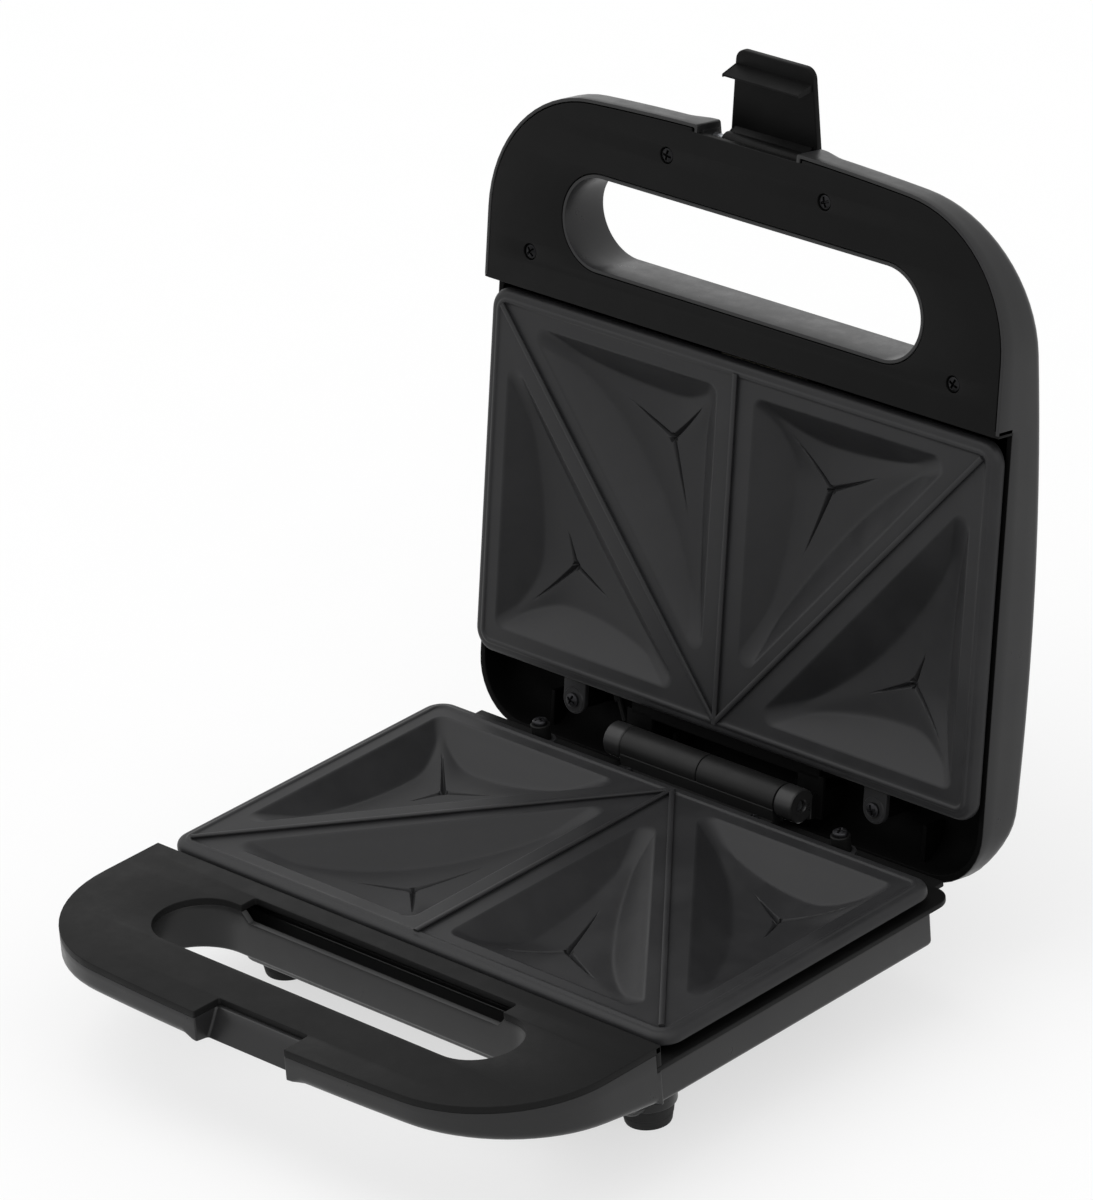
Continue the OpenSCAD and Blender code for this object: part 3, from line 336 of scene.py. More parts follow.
class Tree:
    """The node tree of a material or of the world, its holder."""

    def __init__(self, holder, output="ShaderNodeOutputMaterial"):
        self.holder = holder
        self.holder.use_nodes = True
        self.nodes, self.links = holder.node_tree.nodes, holder.node_tree.links
        self.nodes.clear()
        self.out = self.nodes.new(output)
        self.place = self.node("ShaderNodeTexCoord", {}, output="Object")

    def node(self, kind, settings, *inputs, output=0, **named):
        """Any node: its settings first, then its sockets by order or name, each a value or a link."""
        made = self.nodes.new(kind)
        for key, value in settings.items():
            setattr(made, key, value)
        sockets = dict(enumerate(inputs)) | {key.replace("_", " "): value for key, value in named.items()}
        for key, value in sockets.items():
            if isinstance(value, Value):
                self.links.new(value.socket, made.inputs[key])
            elif value is not None:
                made.inputs[key].default_value = value
        return Value(self, made.outputs[output])

    def noise(self, size, detail=2.0, rough=0.5):
        """Noise from 0 to 1 whose lumps are about size millimetres."""
        return self.node("ShaderNodeTexNoise", {}, Vector=self.place, Scale=1000.0 / size,
                         Detail=detail, Roughness=rough)

    def specks(self, size):
        """Distance to the nearest of scattered points, about size millimetres apart."""
        return self.node("ShaderNodeTexVoronoi", {}, Vector=self.place, Scale=1000.0 / size)

    def ramp(self, value, low, high, first=0.0, last=1.0):
        """The value's span low..high stretched to first..last, smooth at both ends."""
        return self.node("ShaderNodeMapRange", {"interpolation_type": "SMOOTHSTEP"},
                         value, low, high, first, last)

    def blend(self, mask, a, b):
        """Colour a where the mask is 0 and b where it is 1."""
        return self.node("ShaderNodeMix", {"data_type": "RGBA"}, mask, *[None] * 5, a, b, output=2)

    def bump(self, height, depth):
        """A bump of so many millimetres where height goes from 0 to 1."""
        return self.node("ShaderNodeBump", {}, Strength=1.0, Distance=depth * MM, Height=height)

    def shader(self, colour, roughness, normal=None, **constants):
        """The shader. What varies is linked; constants are set on the shader's own sockets."""
        return self.node("ShaderNodeBsdfPrincipled", {}, Base_Color=colour, Roughness=roughness,
                         Normal=normal, **constants)

    def show(self, shader):
        """A shader on the tree's output."""
        self.links.new(shader.socket, self.out.inputs[0])
        return self.holder

    def finish(self, *inputs, **constants):
        """The material with the shader of these inputs."""
        return self.show(self.shader(*inputs, **constants))


def shade(code):
    """A colour written as on a screen (#rrggbb) as the linear colour a shader takes."""
    c = np.array([int(code[k:k + 2], 16) for k in (1, 3, 5)]) / 255
    c = np.where(c <= 0.04045, c / 12.92, ((c + 0.055) / 1.055) ** 2.4)
    return (*c.tolist(), 1.0)


# %% Moulded plastics
def moulded(name, dark, pale, rough, grain, depth, specular):
    """Moulded plastic: fine grain, a slow drift of shade, and rub marks that polish it a little."""
    t = Tree(bpy.data.materials.new(name))
    lumps, cloud, rub = t.noise(grain, 3.0, 0.6), t.noise(60.0, 2.0), t.noise(9.0, 4.0, 0.7)
    colour = t.blend(t.ramp(cloud * 0.7 + lumps * 0.3, 0.3, 0.7), shade(dark), shade(pale))
    roughness = t.ramp(rub, 0.35, 0.75, rough + 0.05, rough - 0.05) + (lumps - 0.5) * 0.08
    return t.finish(colour, roughness, t.bump(lumps, depth), Specular_IOR_Level=specular)


HOUSING = moulded("polished_housing", "#202021", "#252525", 0.32, 0.5, 0.006, 0.27)
# Painted shade: a near-black finish for the lid's cavity behind the plate, where shade falls.
PAINTED_SHADE = moulded("painted_shade_inside", "#060606", "#080808", 0.60, 0.5, 0.010, 0.04)
COVER = moulded("matt_cover", "#0d0d0d", "#101010", 0.45, 0.35, 0.008, 0.08)
DECK = moulded("satin_deck", "#171717", "#1a1a1a", 0.45, 0.35, 0.008, 0.07)
FRAME = moulded("frame_black", "#0c0c0c", "#101010", 0.50, 0.5, 0.008, 0.12)
BARREL = moulded("barrel_black", "#161616", "#1a1a1a", 0.40, 0.4, 0.008, 0.15)
CLIP = moulded("clip_plastic", "#080808", "#0b0b0b", 0.42, 0.4, 0.006, 0.08)
RUBBER = moulded("foot_rubber", "#212121", "#272727", 0.70, 0.8, 0.03, 0.25)
GLAND = moulded("gland_rubber", "#161616", "#1b1b1b", 0.60, 0.6, 0.02, 0.25)


# %% Coated plate, metals and the small parts
def coated(name):
    """Non-stick coat: orange-peel in the spray, fine mineral specks, and wear that dulls it."""
    t = Tree(bpy.data.materials.new(name))
    peel, fine, wear = t.noise(1.6, 2.0, 0.5), t.noise(0.25, 2.0), t.noise(22.0, 4.0, 0.6)
    specks = t.ramp(t.specks(1.1), 0.05, 0.16, 1.0, 0.0)
    colour = t.blend(t.ramp(wear, 0.35, 0.7), shade("#242425"), shade("#29292a"))
    colour = t.blend(specks * 0.3, colour, shade("#3a3a3c"))
    roughness = t.ramp(wear, 0.3, 0.7, 0.40, 0.50) + (fine - 0.5) * 0.1
    return t.finish(colour, roughness, t.bump(peel * 0.7 + fine * 0.3, 0.012), Specular_IOR_Level=0.2)


def metal(name, dark, pale, rough, grain=0.4):
    """Plated steel: brushed by drawing, a little cloudy, with duller spots."""
    t = Tree(bpy.data.materials.new(name))
    lines, cloud = t.noise(grain, 3.0, 0.7), t.noise(5.0, 3.0)
    colour = t.blend(t.ramp(cloud, 0.3, 0.7), shade(dark), shade(pale))
    return t.finish(colour, t.ramp(lines * 0.5 + cloud * 0.5, 0.3, 0.7, rough - 0.06, rough + 0.1),
                    t.bump(lines, 0.004), Metallic=1.0)


PLATE = coated("nonstick_coat")
STEEL = metal("plated_steel", "#8d8f92", "#a9abae", 0.32)
DARK_STEEL = metal("blackened_steel", "#1c1c1d", "#2a2a2b", 0.38)
AGED_STEEL = metal("aged_steel", "#2a2a2c", "#3a3a3c", 0.42)
TUBE = metal("heater_tube", "#5b544c", "#7d7468", 0.45)
MIRROR = metal("reflector_sheet", "#a8abae", "#c4c6c8", 0.28, 1.2)


def speckled(name, base, spot, rough, size=0.6, **constants):
    """Ceramic, resin or glass: a base with finer spots of another shade."""
    t = Tree(bpy.data.materials.new(name))
    spots = t.ramp(t.specks(size), 0.1, 0.45, 1.0, 0.0)
    grain = t.noise(size * 0.7, 3.0)
    return t.finish(t.blend(spots * 0.5, shade(base), shade(spot)), t.ramp(grain, 0.3, 0.7, rough,
                    rough + 0.12), t.bump(grain, 0.01), **constants)


CERAMIC = speckled("thermostat_ceramic", "#c9c4b4", "#b3ad9c", 0.45)
TERMINAL = speckled("terminal_resin", "#d8d3c2", "#c9c3b0", 0.5)
LEAD = speckled("lead_sleeve", "#9d2f26", "#87271f", 0.5)
DARK_LEAD = speckled("dark_sleeve", "#0a0a0a", "#0e0e0e", 0.55, Specular_IOR_Level=0.1)
FUSE = speckled("fuse_sleeve", "#c4c4bd", "#b2b2ab", 0.4)
LENS_RED = speckled("red_lens", "#a51411", "#8d0f0d", 0.12, Coat_Weight=0.6, Coat_Roughness=0.05)
LENS_GREEN = speckled("green_lens", "#1c7a34", "#16662b", 0.12, Coat_Weight=0.6, Coat_Roughness=0.05)
LAMP = speckled("lamp_glass", "#d9b49c", "#c79c82", 0.1)
print("finishes:", len(bpy.data.materials))

# %% [markdown]
# ## The shared plan
#
# Both halves have the plan of one handle: a front that bows out by 6 mm, 47 mm corners and straight
# sides. The lid's shell is a ring, because the finger slot goes right through it. A ring is a closed
# profile carried round the outline, if every outline point knows its partner on the slot. The
# partner is the slot point that faces it: the slot's skeleton is a straight line between two
# centres, and one looks from the nearest point of that line.

# %% Outline and slot
WIDE, FRONT, NECK, CORNER, BOW = 115.0, -220.0, -146.0, 47.0, 1102.083
CORNER_X, CORNER_Y = 68.0, -170.81
SLOT_Y, SLOT_END, SLOT_R = -176.15, 63.55, 15.65
WALL = 2.4
NECK_WALL = NECK - WALL
FACE, COVER_BACK = 0.4, 2.9


def front_rows(t, notch, stops=()):
    """Rows of a handle's front, left to right, moved in by t. The bow and the corners are arcs whose
    centres stay, so moving in only shortens their radii. notch is (half width, depth line, edge
    radius, inner radius). stops are further points on the notch's sides."""
    big, r = BOW - t, CORNER - t
    x, back, r_edge, r_in = notch
    join = math.atan2(CORNER_X, BOW - CORNER)
    sag = FRONT + BOW
    corner = np.linspace(math.pi, 1.5 * math.pi - join, 17)
    left = np.stack([-CORNER_X + r * np.cos(corner), CORNER_Y + r * np.sin(corner), corner * 0], 1)
    bow = np.linspace(join, (x + 4) / BOW, 18)[1:]
    front = np.stack([-big * np.sin(bow), sag - big * np.cos(bow), bow * 0], 1)
    y = sag - math.sqrt(big ** 2 - (x + t) ** 2)
    gap = [(-x - t, y, r_edge), *((-x - t, s, 0) for s in stops), (-x - t, back + t, r_in)]
    return doubled(np.concatenate([left, front, gap]))


def slot_rows(t=0.0):
    """Rows of the finger slot grown by t, anticlockwise."""
    r = SLOT_R + t
    return box_rows(-SLOT_END - r, SLOT_Y - r, SLOT_END + r, SLOT_Y + r, r - 0.01)


def slot_of(loop, shift=3.5):
    """The function slot(t, z), which gives the slot's loop, grown by t, at height z, point by point
    facing the outline's loop. Near the notch x is pushed out by up to shift, so that the notch's side
    walls don't all face one slot point."""
    x, y = loop[:, 0].copy(), loop[:, 1]
    front = y < CORNER_Y - 20
    side, size = np.sign(x), np.abs(x)
    pushed = np.where(size > 22.5, size + shift * (SLOT_END - size).clip(0) / (SLOT_END - 22.5),
                      size + shift * ((-209.5 - y) / 10.5).clip(0) * (size > 20))
    x = np.where(front, side * pushed, x)
    c = np.stack([np.clip(x, -SLOT_END, SLOT_END), np.full(len(x), SLOT_Y)], 1)
    beyond = np.abs(x) > SLOT_END
    straight = np.stack([x * 0, np.where(y < SLOT_Y, -1.0, 1.0)], 1)
    face = np.where(beyond[:, None], unit(np.stack([x, y], 1) - c + 1e-9), straight)
    return lambda t, z: at_height(c + face * np.reshape(SLOT_R + t, (-1, 1)), z)


print(f"plan: {2 * WIDE:.0f} mm wide, slot {2 * (SLOT_END + SLOT_R):.1f} x {2 * SLOT_R:.1f} mm")


CROWN_TOP, CROWN_Y, CROWN_R = 28.0, -60.0, 810.0


def crown(y):
    """Height of the lid's top, a circle in side view: top - r + sqrt(r^2 - (y - middle)^2)."""
    return CROWN_TOP - CROWN_R + np.sqrt(CROWN_R ** 2 - (y - CROWN_Y) ** 2)


def ramp(v, low, high):
    """0 below low, 1 above high and a smooth 3t^2 - 2t^3 between."""
    t = np.clip((v - low) / (high - low), 0, 1)
    return t * t * (3 - 2 * t)


# %% [markdown]
# ## The lid's shell
#
# One closed ring: up the outside from the rim, over the rounded edge, across the crown to the slot,
# down the slot, and back along the inner skin. The edge radius is 4 mm, grows to 12 mm round the
# back, as on the real one, and is nearly sharp beside the clip's notch. It grows to its full size
# between the two distances from the middle that LID_SHARP and BASE_SHARP give for the two halves.

# %% Lid shell
LID_NOTCH = (22.0, -209.5, 0.8, 1.2)
LID_REAR, LID_REAR_R, LID_RIM, NOTCH_RIM = 13.0, 22.0, 7.7, 3.1
SIDE_EDGE, REAR_EDGE = 4.0, 12.0
NOTCH_ZONE = -200.0
LID_SHARP, BASE_SHARP = (24.0, 34.0), (21.5, 28.0)


def lid_rows(t):
    """Rows of the lid's whole outline, moved in by t."""
    w, back, r = WIDE - t, LID_REAR - t, LID_REAR_R - t
    side = doubled([(w, NECK - 1.02, 0), (w, NECK - 0.98, 0), (w, back, r)])
    return np.concatenate([front_rows(t, LID_NOTCH, (-217.02, -216.98)), side])


def matched(rows_at, others=(), step=3.0):
    """The loop of rows_at(0), how far each point moves when the outline moves in by 1, and the
    loops of other rows with the same corners, all divided alike."""
    outer = cornered(rows_at(0.0))
    counts = side_counts(outer, step)
    loop, *rest = (divided(cornered(rows), counts) for rows in (rows_at(0.0), rows_at(1.0), *others))
    return loop, rest[0] - loop, *rest[1:]


def on_surface(loop, surface, rise=0.0):
    """A loop laid on the surface z = surface(y), or so much above it."""
    return at_height(loop, surface(loop[:, 1]) + rise)


def across(a, b, rows, surface, rise=0.0):
    """Loops on a surface, from loop a to loop b in equal steps."""
    return [on_surface(a + (b - a) * s, surface, rise) for s in np.linspace(0, 1, rows)]


def slot_edge(slot, lip, surface, way):
    """The slot's rounded edge: inset = lip (1 - sin a), height = surface + way lip (1 - cos a)."""
    return [on_surface(slot(lip * (1 - math.sin(a)), 0)[:, :2], surface, way * lip * (1 - math.cos(a)))
            for a in np.radians([30, 60, 90])]


def top_edge(y):
    """Radius of the rounded edge round the crown: it grows from the sides to the back."""
    return SIDE_EDGE + (REAR_EDGE - SIDE_EDGE) * ramp(y, -14, 6)


def lid_shell():
    """Closed ring: rim, wall, rounded edge, crown, slot and the inner skin."""
    loop, inward = matched(lid_rows)
    x, y = loop.T
    handle = y < NECK - 1
    in_notch = (np.abs(x) < LID_NOTCH[0] + 0.6) & (y > -217) & (y < NOTCH_ZONE)
    rim = np.where(in_notch, NOTCH_RIM, np.where(handle, FACE, LID_RIM))
    near_notch = (np.abs(x) < LID_SHARP[1]) & (y < NOTCH_ZONE)
    edge = np.where(near_notch, 0.6 + (SIDE_EDGE - 0.6) * ramp(np.abs(x), *LID_SHARP), top_edge(y))
    slot = slot_of(loop)

    def ring(t, z):
        """The outline's loop moved in by t, at height z."""
        return at_height(loop + inward * np.reshape(t, (-1, 1)), z)

    def fillet(t0, r, drop, steps):
        """inset = r (1 - cos a), height = crown - drop - r (1 - sin a)."""
        return [on_surface(loop + inward * (t0 + r * (1 - math.cos(a)))[:, None], crown,
                           -drop - r * (1 - math.sin(a))) for a in np.linspace(0, math.pi / 2, steps)]

    rebate = np.where(handle, 1.3, WALL)
    rows = [ring(rebate, rim + 0.3), ring(rebate - 0.2, rim), ring(0.25, rim), ring(0.07, rim + 0.07),
            ring(0, rim + 0.25)]
    outer = fillet(0.0, edge, 0.0, 9)
    low, high = rim + 0.25, outer[0][:, 2]
    rows += [ring(0, low + (high - low) * s) for s in (0.33, 0.67)] + outer
    lip = 0.9
    rows += across(outer[-1][:, :2], slot(lip, 0)[:, :2], 16, crown)[1:]
    rows += slot_edge(slot, lip, crown, -1)
    rows += [slot(0, 8.0), slot(0, 0.65), slot(0.07, 0.47), slot(0.25, 0.4), slot(1.1, 0.4),
             slot(1.3, 0.7), slot(1.3, 3.0), slot(WALL, 3.1)]
    inner = fillet(WALL, np.maximum(edge - WALL, 0.4), WALL, 5)
    rows += across(slot(WALL, 0)[:, :2], inner[-1][:, :2], 10, crown, -WALL) + inner[::-1][1:]
    rows += [ring(WALL, rim + np.where(handle, 3.0, 1.2)),
             ring(rebate, rim + np.where(handle, 2.7, 0.8))]
    return looped(rows)


# %% [markdown]
# ## The lid's hinge rings, ribs and bosses
#
# Two rings carry the lid on the hinge pin, each on a web that runs up to the crown. Behind the plate
# ribs stiffen the moulding, and bosses take the screws of plate and cover. Each is a small closed
# slab or turned part that is sunk into the shell, so nothing has to be cut.

# %% Rings, ribs and bosses
EAR_X0, EAR_X1, BARREL_R, BARREL_X = 35.4, 42.9, 6.0, 35.0
TAB_LOW, TAB_TOP = LID_RIM, LID_RIM + 1.6
LUG_X, LUG_Y, POST_Y = 68.7, -5.0, -9.5
SCREWS = [(35.0, -206.4), (94.5, -159.4), (-35.0, -206.4), (-94.5, -159.4)]


def ears():
    """Two rings on the hinge line, each with a web up to the crown and a tab over it, and the bar
    that joins the tabs behind the plate's edge."""
    ring = [(2.05, 0.3), (2.35, 0.0), (5.6, 0.0), (6.0, 0.4), (6.0, 7.1), (5.6, 7.5), (2.35, 7.5),
            (2.05, 7.2)]
    out = [along(looped(rounds(ring, 32)), "x", (EAR_X0, 0, 0)),
           block(EAR_X0, EAR_X1, -3, 6, 4.6, 23.8, 0.5),
           block(EAR_X0 - 2, EAR_X1 + 2, -9, 6, TAB_LOW, TAB_TOP, 0.4)]
    bar = block(-EAR_X1, EAR_X1, -11.6, -7.4, TAB_LOW, TAB_TOP, 0.4)
    return out + [mirrored(part) for part in out] + [bar]


def lid_ribs():
    """Upright ribs that follow the rear edge's bend from inside, and the plate screws' bosses."""
    y, z, r = 1.0, 13.0, 10.4
    bend = [(y + r * math.cos(a), z + r * math.sin(a), 0) for a in np.linspace(0.2, 1.57, 10)]
    side = outline([(-2.4, 13.7, 0.3), (11.3, 13.7, 0.3), *bend, (-2.4, 24.2, 0.3)], 20.0)
    ribs = [extruded(side, x - 0.8, x + 0.8, 0.3) for x in (28.0, 85.0)]
    boss = [(1.6, 8.9), (1.6, 8.63), (3.7, 8.63), (4.0, 8.93), (4.0, 24.8), (1.6, 24.8)]
    boss = along(lathe(boss, 28), "z", (LUG_X, LUG_Y, 0))
    return ribs + [boss] + [mirrored(part) for part in ribs + [boss]]


def cover_bosses():
    """The bosses that the cover's screws bite into."""
    out = []
    for (x, y), top in zip(SCREWS, (12.0, 18.0)):
        boss = [(1.5, 3.5), (1.5, 3.2), (3.8, 3.2), (4.0, 3.4), (4.0, top), (1.5, top)]
        out.append(along(lathe(boss, 24), "z", (x, y, 0)))
    return out + [mirrored(part) for part in out]


def clip_mounts():
    """Two cheeks in the notch that hold the clip's pin."""
    cheek = block(21.9, 24.4, -217.5, -209.0, 3.2, 12.4, 0.4)
    return [cheek, mirrored(cheek)]


# %% The lid's moulding, with painted shade inside
SHADE_DEPTH, SHADE_FRONT = 1.2, -148.0


def in_painted_shade(x, y, z):
    """Where the painted shade goes: behind the cover and well below the lid's outside, but not on the
    hinge's rings. With w and h the distances from the walls and from the crown, the outside is
    e - hypot(e - w, e - h) away, e being the edge's radius."""
    size = np.abs(x)
    mid_x, mid_y = WIDE - LID_REAR_R, LID_REAR - LID_REAR_R
    right, rear = (size - mid_x).clip(0), (y - mid_y).clip(0)
    reach = np.hypot(right, rear)
    corner = (right > 0) & (rear > 0)
    side, back = WIDE - size, LID_REAR - y
    w = np.where(corner, LID_REAR_R - reach, np.minimum(side, back))
    e = top_edge(np.where(corner, mid_y + LID_REAR_R * rear / np.maximum(reach, 1e-6),
                          np.where(back < side, LID_REAR, y)))
    depth = e - np.hypot((e - w).clip(0), (e - crown(y) + z).clip(0))
    return (depth > SHADE_DEPTH) & (y > SHADE_FRONT) & (np.hypot(y, z) > BARREL_R + 0.1)


# The faces in the lid's cavity take the painted shade as their second finish.
piece("lid_moulding", [lid_shell()] + ears() + lid_ribs() + cover_bosses() + clip_mounts(), "lid",
      HOUSING, ["lid_shell"], second=PAINTED_SHADE, where=in_painted_shade)

# %% [markdown]
# ## The flat covers
#
# The lid's handle is closed by a flat cover that sits in a rebate, with a hairline gap of 0.3 mm all
# round, four counterbored screws and a bar that steps down to the plate. The base's deck is its
# twin without screws, but its slot is cut back to a second step, and its notch runs deeper.

# %% Lid cover
REBATE = 1.6


def cover_rows(t, notch):
    """A handle's plan back to the neck."""
    return np.concatenate([front_rows(t, notch), doubled([(WIDE - t, NECK, 0.3)])])


def lid_cover():
    """The plate with its slot and screw holes, the bar at the neck and the sunk seats of the screws."""
    notch = (22.8, -218.6, 0.3, 0.4)
    holes = [outline(slot_rows(REBATE))[::-1]] + [circle(x, y, 2.9, 28)[::-1] for x, y in SCREWS]
    plate = slab([outline(cover_rows(REBATE, notch))] + holes, FACE, COVER_BACK, 0.28)
    seats = [along(lathe([(1.7, 2.3), (1.9, 2.3), (3.2, 2.3), (3.2, 2.85), (1.7, 2.85)], 28), "z",
                   (x, y, 0)) for x, y in SCREWS]
    return [plate, block(-WIDE, WIDE, NECK_WALL, NECK, 0.45, LID_RIM - 0.02, 0.35)] + seats


piece("lid_flat_cover", lid_cover(), "lid", COVER, ["lid_cover"])

# %% [markdown]
# ## Screws
#
# A cross-slot pan head is a dome with a cross sunk in it. The dome is a turned profile. The cross is
# put in by pushing down the points of a fine grid that lie within the slot's width, with steep
# walls, so it shows as real shape in every view.

# %% Screws
HEAD_R, HEAD_H, CROSS_DEPTH, HEAD_SIDES = 2.6, 1.8, 0.95, 64


def screw_head():
    """Loops of a head on a polar grid: height = h (1 - 0.32 (radius / r)^2) on the dome and a rounded
    edge, less the cross's depth where a point lies within its width and its reach."""
    dome = np.linspace(0.02, 0.92, 17)
    radii = np.concatenate([dome, [0.97, 1.0, 1.0, 0.98]]) * HEAD_R
    height = np.concatenate([1 - 0.32 * dome ** 2, [0.62, 0.5, 0.1, 0.0]]) * HEAD_H
    a = np.arange(HEAD_SIDES) * 2 * math.pi / HEAD_SIDES
    x, y = radii[:, None] * np.cos(a), radii[:, None] * np.sin(a)
    across, reach = np.minimum(np.abs(x), np.abs(y)), np.maximum(np.abs(x), np.abs(y))
    cross = (1 - ramp(across, 0.26, 0.42)) * (1 - ramp(reach, 0.6 * HEAD_R, 0.72 * HEAD_R))
    return np.stack([x, y, height[:, None] - CROSS_DEPTH * cross], -1)


def screw(length, shank=1.5, pitch=0.9):
    """A screw along +Z, its head's underside at z = 0, with a few turns of thread as rings."""
    rows = [(shank, 0.05), (shank * 0.86, -0.1)]
    for t in np.arange(0.4, length - 1.0, pitch):
        rows += [(shank * 0.84, -t), (shank, -t - 0.35), (shank * 0.84, -t - 0.7)]
    rows += [(shank * 0.8, -length + 0.6), (0.25, -length)]
    return [capped(screw_head()), lathe(rows[::-1], 20)]


SPINS = (20, 65, -10, 40)


def set_screws(places, z, length, down=False):
    """Screws at places (x, y), heads up or down, each turned by its own one of the SPINS."""
    out = []
    for (x, y), spin in zip(places, SPINS):
        for p, curved, flat in screw(length):
            a = math.radians(spin)
            q = np.stack([p[:, 0] * math.cos(a) - p[:, 1] * math.sin(a),
                          p[:, 0] * math.sin(a) + p[:, 1] * math.cos(a), p[:, 2]], 1)
            if down:
                q = q * [1, -1, -1]
            out.append((q + [x, y, z], curved, flat))
    return out


PLATE_LUGS = [(LUG_X, LUG_Y), (-LUG_X, LUG_Y)]
POSTS = [(LUG_X, POST_Y), (-LUG_X, POST_Y)]
FEET_SCREWS = [(29.0, -9.9), (-29.0, -9.9)]
piece("cover_screws", set_screws(SCREWS, 2.25, 6.5, down=True), "lid", DARK_STEEL,
      ["lid_screws"])
piece("lid_plate_screws", set_screws(PLATE_LUGS, 6.55, 9.0, down=True), "lid", AGED_STEEL,
      ["upper_plate_screws"])
piece("base_plate_screws", set_screws(POSTS, 1.65, 9.0), "base", AGED_STEEL, ["plate_posts"])
piece("barrel_screws", set_screws(FEET_SCREWS, -5.45, 5.5), "base", AGED_STEEL,
      ["hinge_screws"])
piece("handle_screws", set_screws(SCREWS, -9.95, 6.5, down=True), "base", STEEL,
      ["base_screws"])

# %% [markdown]
# ## The base's deck
#
# A flat plate whose slot opening has a second step at the back, and whose notch takes the clip.

# %% Deck
BASE_NOTCH = (20.5, -208.4, 0.5, 1.0)
STEP_X, STEP_Y = 60.0, -153.9
FRAME_LOW, FRAME_TOP = -9.5, -7.7


def deck_slot():
    """The slot's outline, anticlockwise, with the step cut back behind it."""
    high = SLOT_Y + SLOT_R
    a = np.radians(np.linspace(-90, 90, 24))
    end = np.stack([SLOT_END + SLOT_R * np.cos(a), SLOT_Y + SLOT_R * np.sin(a), a * 0], 1)
    return outline(doubled(np.concatenate([end, [(STEP_X, high, 0.4), (STEP_X, STEP_Y, 1.2)]])))


def base_deck():
    """The plate with its slot, and the bar at the neck."""
    plate = slab([outline(cover_rows(0.0, BASE_NOTCH)), deck_slot()[::-1]], -COVER_BACK, -FACE, 0.3)
    return [plate, block(-WIDE, WIDE, NECK_WALL, NECK, FRAME_TOP, -0.45, 0.35)]


piece("base_flat_deck", base_deck(), "base", DECK, ["base_deck"])

# %% [markdown]
# ## The base's pan
#
# The handle's tray is the same kind of ring as the lid's shell, upside down: its underside slopes
# from 11.4 mm deep at the front to 21.6 mm at the neck.

# %% Tray
UNDER_FRONT, UNDER_SLOPE = -11.4, -0.137838
NOTCH_FOOT = -214.8
UNDER_EDGE, STEP_DEPTH = 3.5, -6.1


def under(y):
    """Height of the handle's underside."""
    return UNDER_FRONT + (y - FRONT) * UNDER_SLOPE


def tray_rows(t, back=BASE_NOTCH[1]):
    """Rows of the handle's outline, moved in by t, with the notch's back wall at y = back."""
    w = WIDE - t
    side = doubled([(w, NECK_WALL - 0.02, 0), (w, NECK_WALL + 0.02, 0), (w, NECK - t, 1.0)])
    return np.concatenate([front_rows(t, (BASE_NOTCH[0], back, *BASE_NOTCH[2:])), side])


def tray():
    """Closed ring: rim, wall, bottom edge, underside, slot wall and the inner skin."""
    loop, inward, low_loop = matched(tray_rows, [tray_rows(0.0, NOTCH_FOOT)])
    x, y = loop.T
    slot = slot_of(loop)
    top = np.where(y < NECK_WALL, -COVER_BACK, FRAME_LOW)
    stepped = (np.abs(slot(0, 0)[:, 0]) < STEP_X) & (y > SLOT_Y)
    slot_top = np.where(stepped, STEP_DEPTH, -COVER_BACK)
    near_notch = (np.abs(x) < BASE_SHARP[1]) & (y < NOTCH_ZONE)
    edge = np.where(near_notch, 0.35 + 3.2 * ramp(np.abs(x), *BASE_SHARP), UNDER_EDGE)
    edge = np.where(y > -147.5, 0.4, edge)

    def ring(t, z):
        """The notch's back wall slopes forward with depth, from its upper line to its lower one."""
        k = np.clip((-FACE - z) / 11.7, 0, 1)
        at = loop + (low_loop - loop) * np.reshape(k, (-1, 1))
        return at_height(at + inward * np.reshape(t, (-1, 1)), z)

    arc = []
    for a in np.linspace(0, math.pi / 2, 8):
        rise = edge * (1 - math.sin(a))
        at = ring(edge * (1 - math.cos(a)), under(low_loop[:, 1]) + rise)[:, :2]
        arc.append(on_surface(at, under, rise))
    rows = [ring(WALL, top - 0.2), ring(WALL - 0.2, top), ring(0.3, top), ring(0.09, top - 0.09),
            ring(0, top - 0.3)]
    high, low = top - 0.3, arc[0][:, 2]
    rows += [ring(0, high + (low - high) * s) for s in (0.35, 0.7)] + arc
    lip = 1.2
    rows += across(arc[-1][:, :2], slot(lip, 0)[:, :2], 12, under)[1:] + slot_edge(slot, lip, under, 1)
    rows += [slot(0, slot_top - 2.0), slot(0, slot_top - 0.3), slot(0.09, slot_top - 0.09),
             slot(0.3, slot_top), slot(WALL - 0.3, slot_top), slot(WALL, slot_top - 0.3)]
    return looped(rows + across(slot(WALL, 0)[:, :2], loop + inward * 3.0, 8, under, WALL))


# %% [markdown]
# ## Skirt and belly
#
# Behind the handle, a shallow skirt carries the frame and a tapered belly hangs below with the feet.
# Both are stacks of rounded rectangles, because their walls are straight and only their corners and
# lower edges are round.

# %% Skirt, belly and screw wells
def stack(levels):
    """Closed form through rounded rectangles (half width, front y, rear y, corner radius, height)."""
    return capped([at_height(outline(box_rows(-w, front, w, rear, r), 400.0), z)
                   for w, front, rear, r, z in levels])


SKIRT_X, SKIRT_FRONT, SKIRT_REAR, SKIRT_LOW, SKIRT_EDGE = 114.4, -148.2, -17.0, -19.6, 2.0
BELLY_X, BELLY_FRONT, BELLY_REAR, BELLY_TOP = 108.0, -147.0, -20.0, -21.6
FLOOR_X, FLOOR_FRONT, FLOOR_REAR, FLOOR_TOP = 89.7, -135.6, -20.1, -39.4
FEET = {"front": (83.0, -122.0), "rear": (66.0, -30.0)}


